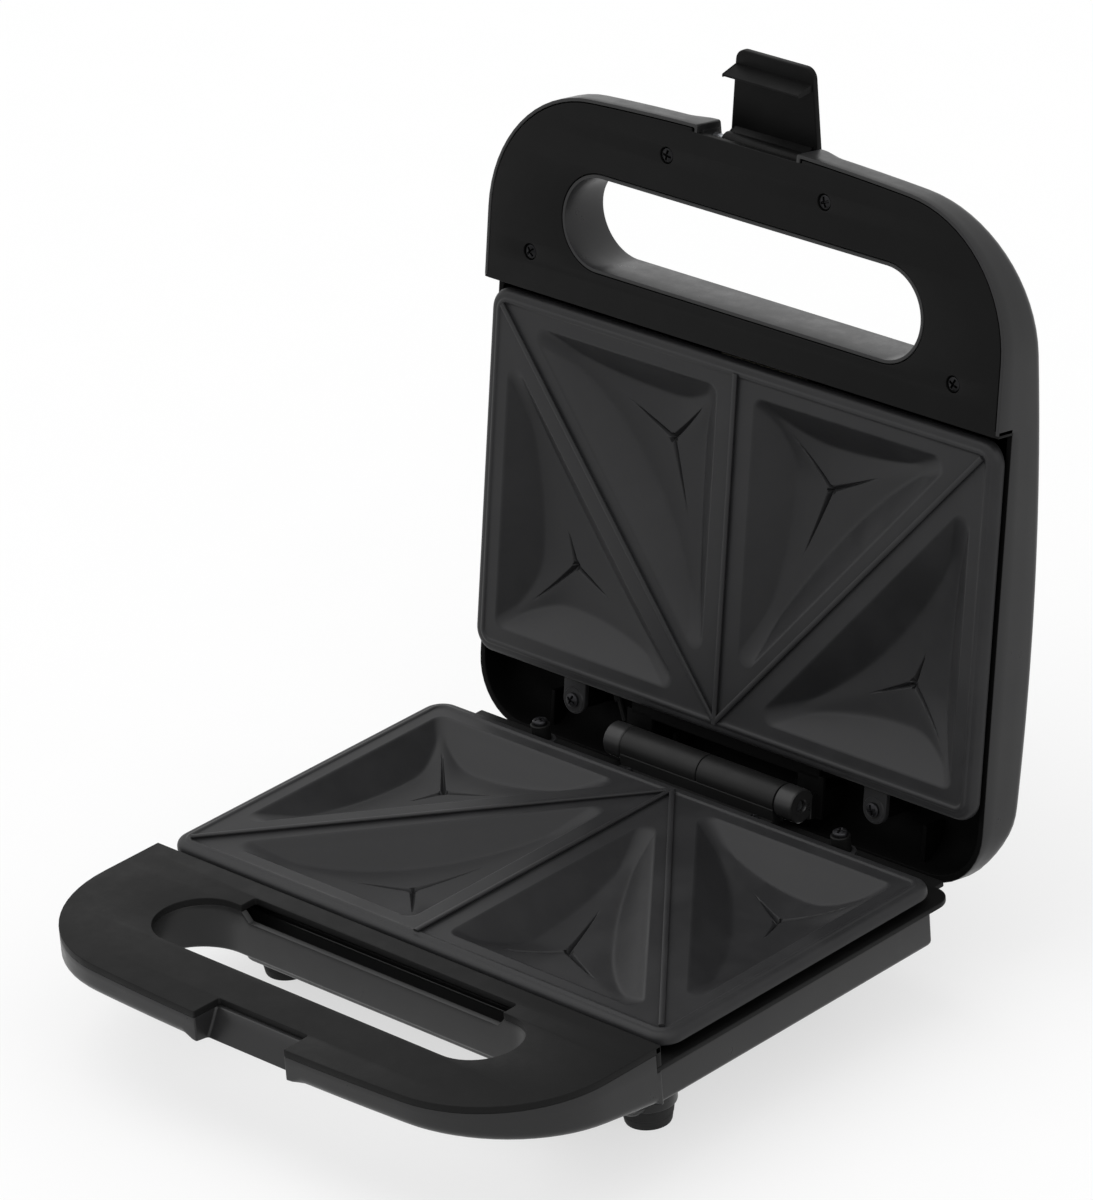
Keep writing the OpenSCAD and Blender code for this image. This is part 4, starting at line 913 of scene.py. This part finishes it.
def skirt_and_belly():
    """Skirt: an open tray under the frame. Belly: tapering walls with a rounded foot. Both lower
    edges bend in as part of an ellipse: inset = u (1 - cos a), drop = v sin a."""
    skirt = [(112.0, -148.0, -19.4, 1.0, -19.2), (112.0, -148.0, -19.4, 1.0, FRAME_LOW - 0.3),
             (112.3, SKIRT_FRONT, -19.1, 1.0, FRAME_LOW), (114.1, SKIRT_FRONT, -17.3, 1.2, FRAME_LOW),
             (SKIRT_X, SKIRT_FRONT, SKIRT_REAR, 1.5, FRAME_LOW - 0.3),
             (SKIRT_X, SKIRT_FRONT, SKIRT_REAR, 1.5, SKIRT_LOW)]
    for a in np.radians([22.5, 45, 67.5, 90]):
        run, drop = SKIRT_EDGE * (1 - math.cos(a)), SKIRT_EDGE * math.sin(a)
        skirt.append((SKIRT_X - run, SKIRT_FRONT, SKIRT_REAR - run, 1.5, SKIRT_LOW - drop))
    belly = [(105.0, -144.0, -23.0, 2.0, -18.9), (107.9, BELLY_FRONT, BELLY_REAR, 2.0, -18.9),
             (BELLY_X, BELLY_FRONT, BELLY_REAR, 2.0, BELLY_TOP),
             (FLOOR_X, FLOOR_FRONT, FLOOR_REAR, 3.0, FLOOR_TOP)]
    for a in np.radians([20, 40, 60, 80, 90]):
        run, drop = 1 - math.cos(a), 2.6 * math.sin(a)
        belly.append((FLOOR_X - 3.4 * run, FLOOR_FRONT + 3.4 * run, FLOOR_REAR - 2.4 * run, 3.0,
                      FLOOR_TOP - drop))
    boss = lathe([(9.8, -34.2), (10.0, -34.4), (10.0, -41.2), (9.8, -41.7), (9.3, -42.0)], 48)
    boss = along(boss, "z", (*FEET["front"], 0))
    hinge_seat = block(-BARREL_X, BARREL_X, -19.6, -6, -19.2, FRAME_LOW - 0.02, 0.8)
    return [stack(skirt), stack(belly), hinge_seat, boss, mirrored(boss)]


def screw_wells():
    """Tubes inside the handle that the screws from below sit in."""
    out = []
    for x, y in SCREWS:
        low = under(y) + 0.9
        well = [(3.2, low), (3.2, -10.3), (2.9, -10.0), (1.7, -9.9), (1.7, -7.2), (4.0, -7.2),
                (4.0, low)]
        out.append(looped(rounds(well, 28, x, y)))
    return out


piece("base_moulding", [tray()] + skirt_and_belly() + screw_wells(), "base", HOUSING,
      ["base_pan"])

# %% [markdown]
# ## The frame and the hinge
#
# The frame is a thin sheet that closes the pan and stands out as a small lip all round the plate.
# The hinge barrel is moulded in two halves that meet in a seam, and a steel pin runs through it and
# through the lid's two rings.

# %% Frame
PLATE_X, PLATE_FRONT, PLATE_REAR, PLATE_R = 113.8, -143.2, -12.8, 8.0
FRAME_RIM, FRAME_REAR, FLANGE_X, FLANGE_REAR = 7.0, -5.5, 106.0, -1.0


def base_frame():
    """The sheet round the plate with its flange at the back, the two posts and the front's bosses."""
    outer = outline(doubled([(WIDE, NECK_WALL, 0.3), (WIDE, FRAME_REAR, 8), (FLANGE_X, FRAME_REAR, 0.3),
                             (FLANGE_X, FLANGE_REAR, 0.6)]))
    x, front, rear = PLATE_X - FRAME_RIM, PLATE_FRONT + FRAME_RIM, PLATE_REAR - FRAME_RIM
    hole = outline(box_rows(-x, front, x, rear, 3.0))[::-1]
    parts = [slab([outer, hole], FRAME_LOW, FRAME_TOP, 0.35)]
    post = [(1.55, -8.5), (1.55, 1.35), (1.8, 1.6), (3.1, 1.6), (3.4, 1.3), (3.4, -6.3), (3.6, -6.5),
            (4.7, -6.5), (5.0, -6.8), (5.0, -8.5)]
    for x, y in POSTS:
        parts.append(looped(rounds(post, 36, x, y)))
        parts.append(block(x - 4, x + 4, PLATE_FRONT, front, -8.5, -4.5, 0.4))
    return parts


piece("plate_frame", base_frame(), "base", FRAME, ["base_frame"])


# %% Hinge
def hinge_barrel():
    """Turned profile with the seam as a groove, the block under it and its foot on the frame."""
    r, x = BARREL_R, BARREL_X
    half = [(2.06, x), (2.3, x), (r - 0.3, x), (r - 0.08, x - 0.09), (r, x - 0.3), (r, 0.45),
            (r - 0.15, 0.25), (r - 0.5, 0.22)]
    profile = half + [(radius, -at) for radius, at in half[::-1]]
    tube = along(looped(rounds(profile, 48)), "x", (0, 0, 0))
    web = outline([(-r, FRAME_TOP, 0.3), (-1.0, FRAME_TOP, 0.3), (-1.0, -2.2, 0.3), (-2.6, -2.2, 0.3),
                   (-5.8, -1.2, 0.2), (-r, -1.6, 0.1)], 20.0)
    holes = [circle(x, y, 1.6, 24)[::-1] for x, y in FEET_SCREWS]
    seat = outline(box_rows(-x, -13.8, x, FRAME_REAR, 0.8), 20.0)
    return [tube, extruded(web, -x, x, 0.3), slab([seat] + holes, FRAME_TOP, -5.5, 0.3)]


piece("barrel", hinge_barrel(), "base", BARREL, ["hinge_barrel"])


def pin(radius, half, at):
    """A pin along X with chamfered ends."""
    c = radius * 0.25
    profile = [(radius - c, -half), (radius, -half + c), (radius, half - c), (radius - c, half)]
    return along(lathe(profile, 28), "x", at)


HINGE_PIN, CLIP_PIN = (2.0, 41.7), (1.5, 23.8)
piece("pivot_pin", [pin(*HINGE_PIN, (0, 0, 0))], "base", STEEL, ["hinge_pin"])
piece("clip_pin", [pin(*CLIP_PIN, (0, *CLIP_PIVOT))], "lid", STEEL, ["latch_pin"])

# %% [markdown]
# ## The cooking plates
#
# Each plate is one cast sheet: a flat land with four pockets, thin dividers that meet in a star at
# the back, a bead round the edge and a rounded rim that turns down into a skirt. A pocket is built
# on scaled copies of its rounded outline, from the edge (scale 1) to its middle (scale 0), so the
# rows follow the wall. Its depth is the lesser of a wall, which falls evenly from the edge, and a
# floor of three facets. Along its side a facet is a parabola, 10 (1 - (u / u_corner)^2), with u
# measured from the point where the inner circle touches. So the floor rises to the corners, and the
# wall is a band that is widest halfway along. Three short creases run from the middle outwards.

# %% Pocket
LAND, DEPTH, EDGE_RUN, SHEET = 1.2, 10.0, 27.55, 2.0
FIELD = 3.0
LOW_IN, HIGH_IN = (1.5, PLATE_FRONT + FIELD), (1.5, PLATE_REAR - FIELD)
LOW_OUT, HIGH_OUT = (PLATE_X - FIELD, PLATE_FRONT + FIELD), (PLATE_X - FIELD, PLATE_REAR - FIELD)
INNER = np.array([LOW_IN, LOW_OUT, HIGH_IN])
OUTER = np.array([LOW_OUT, HIGH_OUT, HIGH_IN])
CREASES = {"inner": (21.0, 21.0, 25.0), "outer": (11.6, 22.6, 17.2)}


def incentre(tri):
    """Sum of the corners weighed by the sides opposite, and the inner circle's radius."""
    a, b, c = (np.linalg.norm(tri[(k + 1) % 3] - tri[(k + 2) % 3]) for k in range(3))
    area = abs(np.cross(tri[1] - tri[0], tri[2] - tri[0])) / 2
    return (a * tri[0] + b * tri[1] + c * tri[2]) / (a + b + c), 2 * area / (a + b + c)


def pocket_edge(tri, inset=6.5, r=4.0):
    """The triangle moved in by inset, its corners rounded."""
    mid, inner = incentre(tri)
    small = mid + (tri - mid) * (inner - inset) / inner
    return outline(np.column_stack([small, np.full(3, r)]), 1.2, 7.0), mid, small


def meet(a, b, soft):
    """The lesser of two heights with the corner rounded: (a + b - sqrt((a-b)^2 + soft^2)) / 2."""
    return (a + b - np.sqrt((a - b) ** 2 + soft ** 2)) / 2


STEEP, LIP, CREASE_HALF, CREASE_DEPTH = 0.84, 1.1, 1.05, 1.9


def pocket_depth(scale, loop, mid, corners, arms):
    """Depth below the land of the loop's copy at this scale."""
    t = EDGE_RUN * (1 - scale)
    wall = STEEP * np.where(t < LIP, t * t / (2 * LIP), t - LIP / 2)
    p = mid + (loop - mid) * scale
    total = weights = 0.0
    for a, b in zip(corners, np.roll(corners, -1, 0)):
        way, length = unit(b - a), np.linalg.norm(b - a)
        foot = (mid - a) @ way
        u = (p - a) @ way - foot
        facet = DEPTH * (1 - np.clip(np.abs(u) / np.where(u < 0, foot, length - foot), 0, 1) ** 2)
        weight = np.exp(-np.abs((p - a) @ np.array([-way[1], way[0]])) / 3.0)
        total, weights = total + weight * facet, weights + weight
    depth = meet(wall, total / weights, 0.5 * min(1.0, t / 3)) + 0.25 * min(1.0, t / 3)
    crease = np.zeros(len(p))
    for corner, arm in zip(corners, arms):
        way = unit(corner - mid)
        s = (p - mid) @ way
        side = np.abs((p - mid) @ np.array([-way[1], way[0]]))
        half = np.maximum(CREASE_HALF * (1 - 0.8 * s / arm), 0.05)
        cut = np.where((s > -1.5) & (s < arm), 1 - side / half, 0)
        crease = np.maximum(crease, cut * np.clip(1 - s / arm, 0, 1) ** 0.6)
    return np.maximum(depth, 0) + CREASE_DEPTH * np.clip(crease, 0, 1)


def pocket(tri, arms):
    """Front and back of one pocket as stacks of loops, z measured from the beads' tips."""
    loop, mid, corners = pocket_edge(tri)
    t = np.concatenate([[0, 0.2, 0.4, 0.65, 0.9, 1.2], np.arange(1.7, 15.0, 0.55),
                        np.arange(15.2, 21.0, 0.8), np.arange(21.2, EDGE_RUN - 0.3, 0.45),
                        [EDGE_RUN - 0.08]])
    scales = 1 - t / EDGE_RUN
    front = [at_height(mid + (loop - mid) * s, LAND + pocket_depth(s, loop, mid, corners, arms))
             for s in scales]
    few = [0.0, 1.5, 6.0, 11.0, 18.0, EDGE_RUN - 0.5]
    back = []
    for d in few:
        s = 1 - d / EDGE_RUN
        z = LAND + SHEET + pocket_depth(s, loop, mid, corners, (0.01, 0.01, 0.01))
        back.append(at_height(mid + (loop - mid) * (s + 1.2 / EDGE_RUN), z))
    return front, back


# %% Plate
def ridge(a, b, high=1.15):
    """A divider: a bar from a to b, sunk into the land, with a rounded top over a narrower waist, so
    that a dark line runs along both its sides. s runs across it and z is its height."""
    a, b = np.array(a, float), np.array(b, float)
    way = unit(b - a)
    side = np.array([-way[1], way[0]])
    s = np.array([-0.62, -0.66, -0.98, -0.9, -0.62, 0.0, 0.62, 0.9, 0.98, 0.66, 0.62, 0.6, -0.6])
    z = np.array([-0.05, 0.3, 0.72, 0.98, 1.1, 1.13, 1.1, 0.98, 0.72, 0.3, -0.05, -0.6, -0.6]) * high
    return capped([np.column_stack([a + (b - a) * k + side * s[:, None], LAND - z])
                   for k in np.linspace(0, 1, 40)])


BEAD_AND_RIM = [(6.3, LAND), (5.4, LAND), (5.1, 1.12), (4.85, 0.92), (4.6, 0.78), (4.3, 0.72),
                (4.0, 0.72), (3.7, 0.78), (3.45, 0.92), (3.2, 1.12), (2.9, LAND), (2.5, 1.21),
                (1.9, 1.28), (1.25, 1.54), (0.73, 1.93), (0.33, 2.45), (0.08, 3.1), (0.0, 3.7),
                (0.0, 4.6), (0.12, 4.95), (0.45, 5.1), (1.6, 5.1), (2.0, 4.8), (2.05, 3.8),
                (2.5, LAND + SHEET)]


def plate_rows(t):
    """Rows of the plate's outline, moved in by t."""
    return box_rows(-PLATE_X + t, PLATE_FRONT + t, PLATE_X - t, PLATE_REAR - t, PLATE_R - t)


def sheet():
    """The cast sheet, facing -Z with its beads' tips at z = 0. Round the outside runs the profile of
    rows (inset, z): bead, land, rounded rim and skirt. The pockets are holes in both caps, and each
    is filled by its own stack of loops."""
    loop, inward = matched(plate_rows)
    rim = [at_height(loop + inward * d, z) for d, z in BEAD_AND_RIM]
    p, quads = band(rim)
    points, smooth, n, m = [p], [quads], len(p), len(loop)
    front, back = [(rim[0][:, :2], np.arange(m))], [(rim[-1][:, :2], n - m + np.arange(m))]
    pockets = [pocket(INNER, CREASES["inner"]), pocket(OUTER, CREASES["outer"])]
    pockets += [[[row[::-1] * [-1, 1, 1] for row in side] for side in pair] for pair in pockets]
    for pair in pockets:
        for side, holes, turn in zip(pair, (front, back), (1, -1)):
            p, quads = band(side, start=n)
            m = len(side[0])
            points.append(p)
            holes.append((side[0][::-1, :2], n + np.arange(m)[::-1]))
            n += len(p)
            smooth += [quads[:, ::turn], (n - m + np.arange(m))[None][:, ::turn]]
    return np.concatenate(points), smooth, [cap(*zip(*front))[:, ::-1], cap(*zip(*back))]


def plate(lug_y, lug_hole):
    """The sheet, its dividers, and the two lugs with a raised seat round the screw's hole."""
    slant = ridge((107.6, -137.6), (0.6, -17.9))
    parts = [sheet(), ridge((0, -139.5), (0, -16.5)), slant, mirrored(slant)]
    for x in (-LUG_X, LUG_X):
        lug = outline([(x - 5, -15.5, 0.5), (x + 5, -15.5, 0.5), (x + 5, lug_y + 5, 4.9),
                       (x - 5, lug_y + 5, 4.9)], 8.0)
        parts.append(slab([lug, circle(x, lug_y, lug_hole, 28)[::-1]], 5.1, 7.1, 0.3))
        ring = [(lug_hole, 5.3), (lug_hole + 0.2, 4.75), (4.2, 4.75), (4.6, 5.3)]
        parts.append(looped(rounds(ring, 36, x, lug_y)))
    return parts


def facing(way, parts, z):
    """Parts with their tips at z, facing down as drawn (way 1) or turned over to face up (-1)."""
    return [(p * [1, 1, way] + [0, 0, z], a, b) for p, a, b in parts]


piece("lid_plate", facing(1, plate(LUG_Y, 1.9), 1.5), "lid", PLATE, ["upper_plate"], 40)
piece("base_plate", facing(-1, plate(POST_Y, 3.6), 0.9), "base", PLATE,
      ["lower_plate"], 40)

# %% [markdown]
# ## The clip
#
# A moulded tongue that hangs from its pin in the lid's notch and hooks under the base's handle. It
# has a flat, slightly tapered face with rounded lower corners, an eye along the pin and a thin hook
# right across it.

# %% Clip
TIP_X, HEEL_X, HEEL_Z, EYE_X, CLIP_BACK = 16.8, 19.3, 12.5, 17.3, -219.0


def clip():
    """Face, eye and hook, as drawn shut: the face is at y = -221.6, the hook points to +Y."""
    face = outline(doubled([(TIP_X, -21.0, 4.0), (HEEL_X, 9.5, 0), (HEEL_X, HEEL_Z, 1.0)]), 8.0, 12.0)
    p, smooth, flat = slab([face], 0.0, 2.6, 0.5)
    front = (np.stack([p[:, 0], CLIP_BACK - p[:, 2], p[:, 1]], 1), smooth, flat)
    eye = pin(3.0, EYE_X, (0, *CLIP_PIVOT))
    y = CLIP_PIVOT[0]
    bridge = outline([(-219.6, HEEL_Z, 0.3), (y, HEEL_Z, 0.3), (y, 8.5, 0.3), (-219.6, 5.5, 0.3)], 9.0)
    hook = outline([(-219.8, -13.7, 0.2), (CLIP_BACK, -13.66, 0.1), (-213.2, -12.92, 0.25),
                    (-212.5, -12.88, 0.2), (-212.5, -13.6, 0.3), (CLIP_BACK, -15.66, 0.3),
                    (-219.8, -15.7, 0.2)], 9.0)
    return [front, eye, extruded(bridge, -EYE_X, EYE_X, 0.4), extruded(hook, -TIP_X, TIP_X, 0.3)]


piece("clip", clip(), "latch", CLIP, ["latch"])

# %% [markdown]
# ## Feet, gland and lenses
#
# Turned parts. A foot is a rubber dish with a ring groove and a stem pushed into the belly. The
# gland is a ribbed cone that guards the lead where it would leave, and its mouth is open. The two
# lenses in the lid are domed.

# %% Turned parts
def foot(x, y):
    """A turned dish with its groove, its face under the belly and its stem."""
    rows = [(1.6, -48.1), (4.6, -48.1), (4.9, -48.3), (5.2, -49.1), (5.5, -49.3), (7.1, -49.3),
            (7.6, -49.1), (7.85, -48.6), (8.25, -46.4), (8.35, -46.0), (8.3, -45.8), (8.5, -45.6),
            (8.85, -43.2), (8.95, -42.5), (8.8, -42.1), (8.5, -42.0), (2.5, -42.0), (2.5, -38.8),
            (2.0, -38.2), (1.0, -38.2)]
    return along(lathe(rows, 56), "z", (x, y, 0))


for end, (x, y) in FEET.items():
    for side, s in (("left", -1), ("right", 1)):
        piece(f"foot_{end}_{side}_rubber", [foot(s * x, y)], "base", RUBBER,
              [f"foot_{end}_{side}"])


GLAND_AT = (-55.0, 0.0, -31.0)


def gland():
    """Sleeve through the wall, flange, and a cone of ribs that ends in a rounded mouth."""
    rows = [(3.62, -24.6), (6.6, -24.6), (6.78, -24.4), (6.78, -20.2), (8.2, -20.0), (8.4, -19.7),
            (8.4, -18.6), (8.1, -18.3)]
    for k in range(5):
        y, r = -17.9 + 1.75 * k, 7.2 - 0.36 * k
        rows += [(r - 1.0, y), (r - 1.0, y + 0.6), (r, y + 0.85), (r - 0.05, y + 1.5),
                 (r - 0.9, y + 1.7)]
    rows += [(5.1, -9.3), (4.9, -9.0), (3.9, -9.0), (3.62, -9.3)]
    return along(looped(rounds(rows, 40)), "y", GLAND_AT)


piece("gland", [gland()], "base", GLAND, ["cord_gland"])


LENS_X, LENS_Y, LENS_R = 9.0, -136.0, 3.2


def lens(x):
    """A flanged plug through the crown with a low dome: radius = r cos a, height = 0.45 sin a."""
    top = float(crown(LENS_Y))
    rows = [(2.4, top - 4.4), (4.0, top - 4.4), (4.0, top - 3.3), (LENS_R, top - 3.2)]
    for a in np.linspace(0, math.pi / 2, 7)[:-1]:
        rows.append((LENS_R * math.cos(a), top + 0.15 + 0.45 * math.sin(a)))
    return along(lathe(rows + [(0.05, top + 0.6)], 36), "z", (x, LENS_Y, 0))


piece("power_light", [lens(-LENS_X)], "lid", LENS_RED, ["power_lens"])
piece("ready_light", [lens(LENS_X)], "lid", LENS_GREEN, ["ready_lens"])

# %% [markdown]
# ## The inner parts
#
# Heaters, clamps, reflectors, thermostats, fuse, terminal block, leads and lamps are closed in. The
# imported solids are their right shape, so they stay, and only take a finish.

# %% Finishes of the solids that stay
KEPT = {
    "lower_heater": TUBE, "upper_heater": TUBE, "lower_heater_clamps": STEEL,
    "upper_heater_clamps": STEEL, "lower_reflector": MIRROR, "upper_reflector": MIRROR,
    "thermostat": CERAMIC, "lid_thermostat": CERAMIC, "thermal_fuse": FUSE, "terminal_block": TERMINAL,
    "base_wires": LEAD, "lid_wires": DARK_LEAD, "lamp_holder": CERAMIC, "neon_lamps": LAMP,
}
for node, finish in KEPT.items():
    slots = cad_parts[node].data.materials
    slots.clear()
    slots.append(finish)
shown = [n for n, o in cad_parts.items() if not o.hide_render]
print("kept:", sorted(shown), "all dressed:", set(shown) == set(KEPT))

# %% [markdown]
# ## Floor, light and camera
#
# The photograph is a cut-out on white, lit softly from all round with a stronger light above. The
# floor is pale and holds only the object's soft shadow. Seen by the camera, in reflections and
# through glass, floor and world are white.

# %% Floor and world
def seen(tree):
    """1 for camera, glossy and transmission rays, 0 for the rays that carry light."""
    camera, glossy, through = (tree.node("ShaderNodeLightPath", {}, output=f"Is {kind} Ray")
                               for kind in ("Camera", "Glossy", "Transmission"))
    either = tree.node("ShaderNodeMath", {"operation": "MAXIMUM"}, camera, glossy)
    return tree.node("ShaderNodeMath", {"operation": "MAXIMUM"}, either, through)


def glow(tree, kind, strength):
    """A white emission or background shader."""
    return tree.node(kind, {}, Color=(1.0, 1.0, 1.0, 1.0), Strength=strength)


def mixed(tree, factor, a, b):
    """Shader a where the factor is 0 and b where it is 1."""
    return tree.node("ShaderNodeMixShader", {}, factor, a, b)


SHADOW, FLOOR_HALF, ROOM_LIGHT = 0.35, 12.0, 0.55
floor_mesh = bpy.data.meshes.new("floor")
corners = [(x * FLOOR_HALF, y * FLOOR_HALF, 0) for x, y in ((-1, -1), (1, -1), (1, 1), (-1, 1))]
floor_mesh.from_pydata(corners, [], [(0, 1, 2, 3)])
floor = bpy.data.objects.new("floor", floor_mesh)
bpy.context.scene.collection.objects.link(floor)
t = Tree(bpy.data.materials.new("pale_floor"))
grain = t.noise(40.0, 3.0)
lit = t.shader(t.blend(grain, shade("#fbfbfb"), shade("#fefefe")), t.ramp(grain, 0.3, 0.7, 0.75, 0.85),
               Specular_IOR_Level=0.0)
floor_mesh.materials.append(t.show(mixed(t, seen(t) * (1 - SHADOW), lit,
                                         glow(t, "ShaderNodeEmission", 1.0))))

t = Tree(bpy.data.worlds.new("soft_room"), "ShaderNodeOutputWorld")
bpy.context.scene.world = t.show(mixed(t, seen(t), glow(t, "ShaderNodeBackground", ROOM_LIGHT),
                                       glow(t, "ShaderNodeBackground", 1.0)))
print(f"floor {2 * FLOOR_HALF:.0f} m wide, world {ROOM_LIGHT} as bright as it looks")


# %% Lamps
def sun(name, coming_from, strength, spread):
    """Soft light from a direction, in W/m2, from a disc so many degrees wide."""
    data = bpy.data.lights.new(name, "SUN")
    data.energy, data.angle = strength, math.radians(spread)
    thing = bpy.data.objects.new(name, data)
    thing.rotation_euler = Vector(coming_from).to_track_quat("Z", "Y").to_euler()
    bpy.context.scene.collection.objects.link(thing)


sun("high_left", (-0.5, -0.35, 1.0), 1.1, 70)
sun("high_right", (0.8, -0.3, 1.0), 0.7, 70)
print("lamps:", [lamp.name for lamp in bpy.data.lights])

# %% Camera
TO_FRAME = np.array([0, 81.74, 48.9])
EYE = TO_FRAME + [1552.91, -1578.66, 1136.12]
AIM = TO_FRAME + [0, -90.0, 20.0]
TWIST = np.radians([-1.7146, 0.3773, 4.6531])
FOCAL_PX, HEIGHT_PX, SHIFT_PX, SENSOR = 7402.95, 1200.0, (-1.22, -4.04), 36.0


def camera_turn():
    """Looking from EYE to AIM, then turned by the three small angles about the camera's own axes."""
    back = unit(EYE - AIM)
    right = unit(np.cross((0, 0, 1.0), back))
    look = np.stack([right, np.cross(back, right), back])
    cx, cy, cz = np.cos(TWIST)
    sx, sy, sz = np.sin(TWIST)
    rx = np.array([[1, 0, 0], [0, cx, -sx], [0, sx, cx]])
    ry = np.array([[cy, 0, sy], [0, 1, 0], [-sy, 0, cy]])
    rz = np.array([[cz, -sz, 0], [sz, cz, 0], [0, 0, 1]])
    return rz @ ry @ rx @ look


data = bpy.data.cameras.new("photo_view")
data.sensor_fit, data.sensor_height, data.sensor_width = "VERTICAL", SENSOR, SENSOR
data.lens = FOCAL_PX / HEIGHT_PX * SENSOR
data.shift_x, data.shift_y = SHIFT_PX[0] / HEIGHT_PX, SHIFT_PX[1] / HEIGHT_PX
data.clip_end = 50.0
camera = bpy.data.objects.new("photo_view", data)
m = camera_turn()
camera.matrix_world = Matrix(np.vstack([np.column_stack([m.T, EYE * MM]), [0, 0, 0, 1]]).tolist())
bpy.context.scene.collection.objects.link(camera)
bpy.context.scene.camera = camera
print(f"camera: {np.linalg.norm(EYE - AIM):.0f} mm away, lens {data.lens:.0f} mm")

# %% Colour and the last step
view = bpy.context.scene.view_settings
view.view_transform = "Standard"
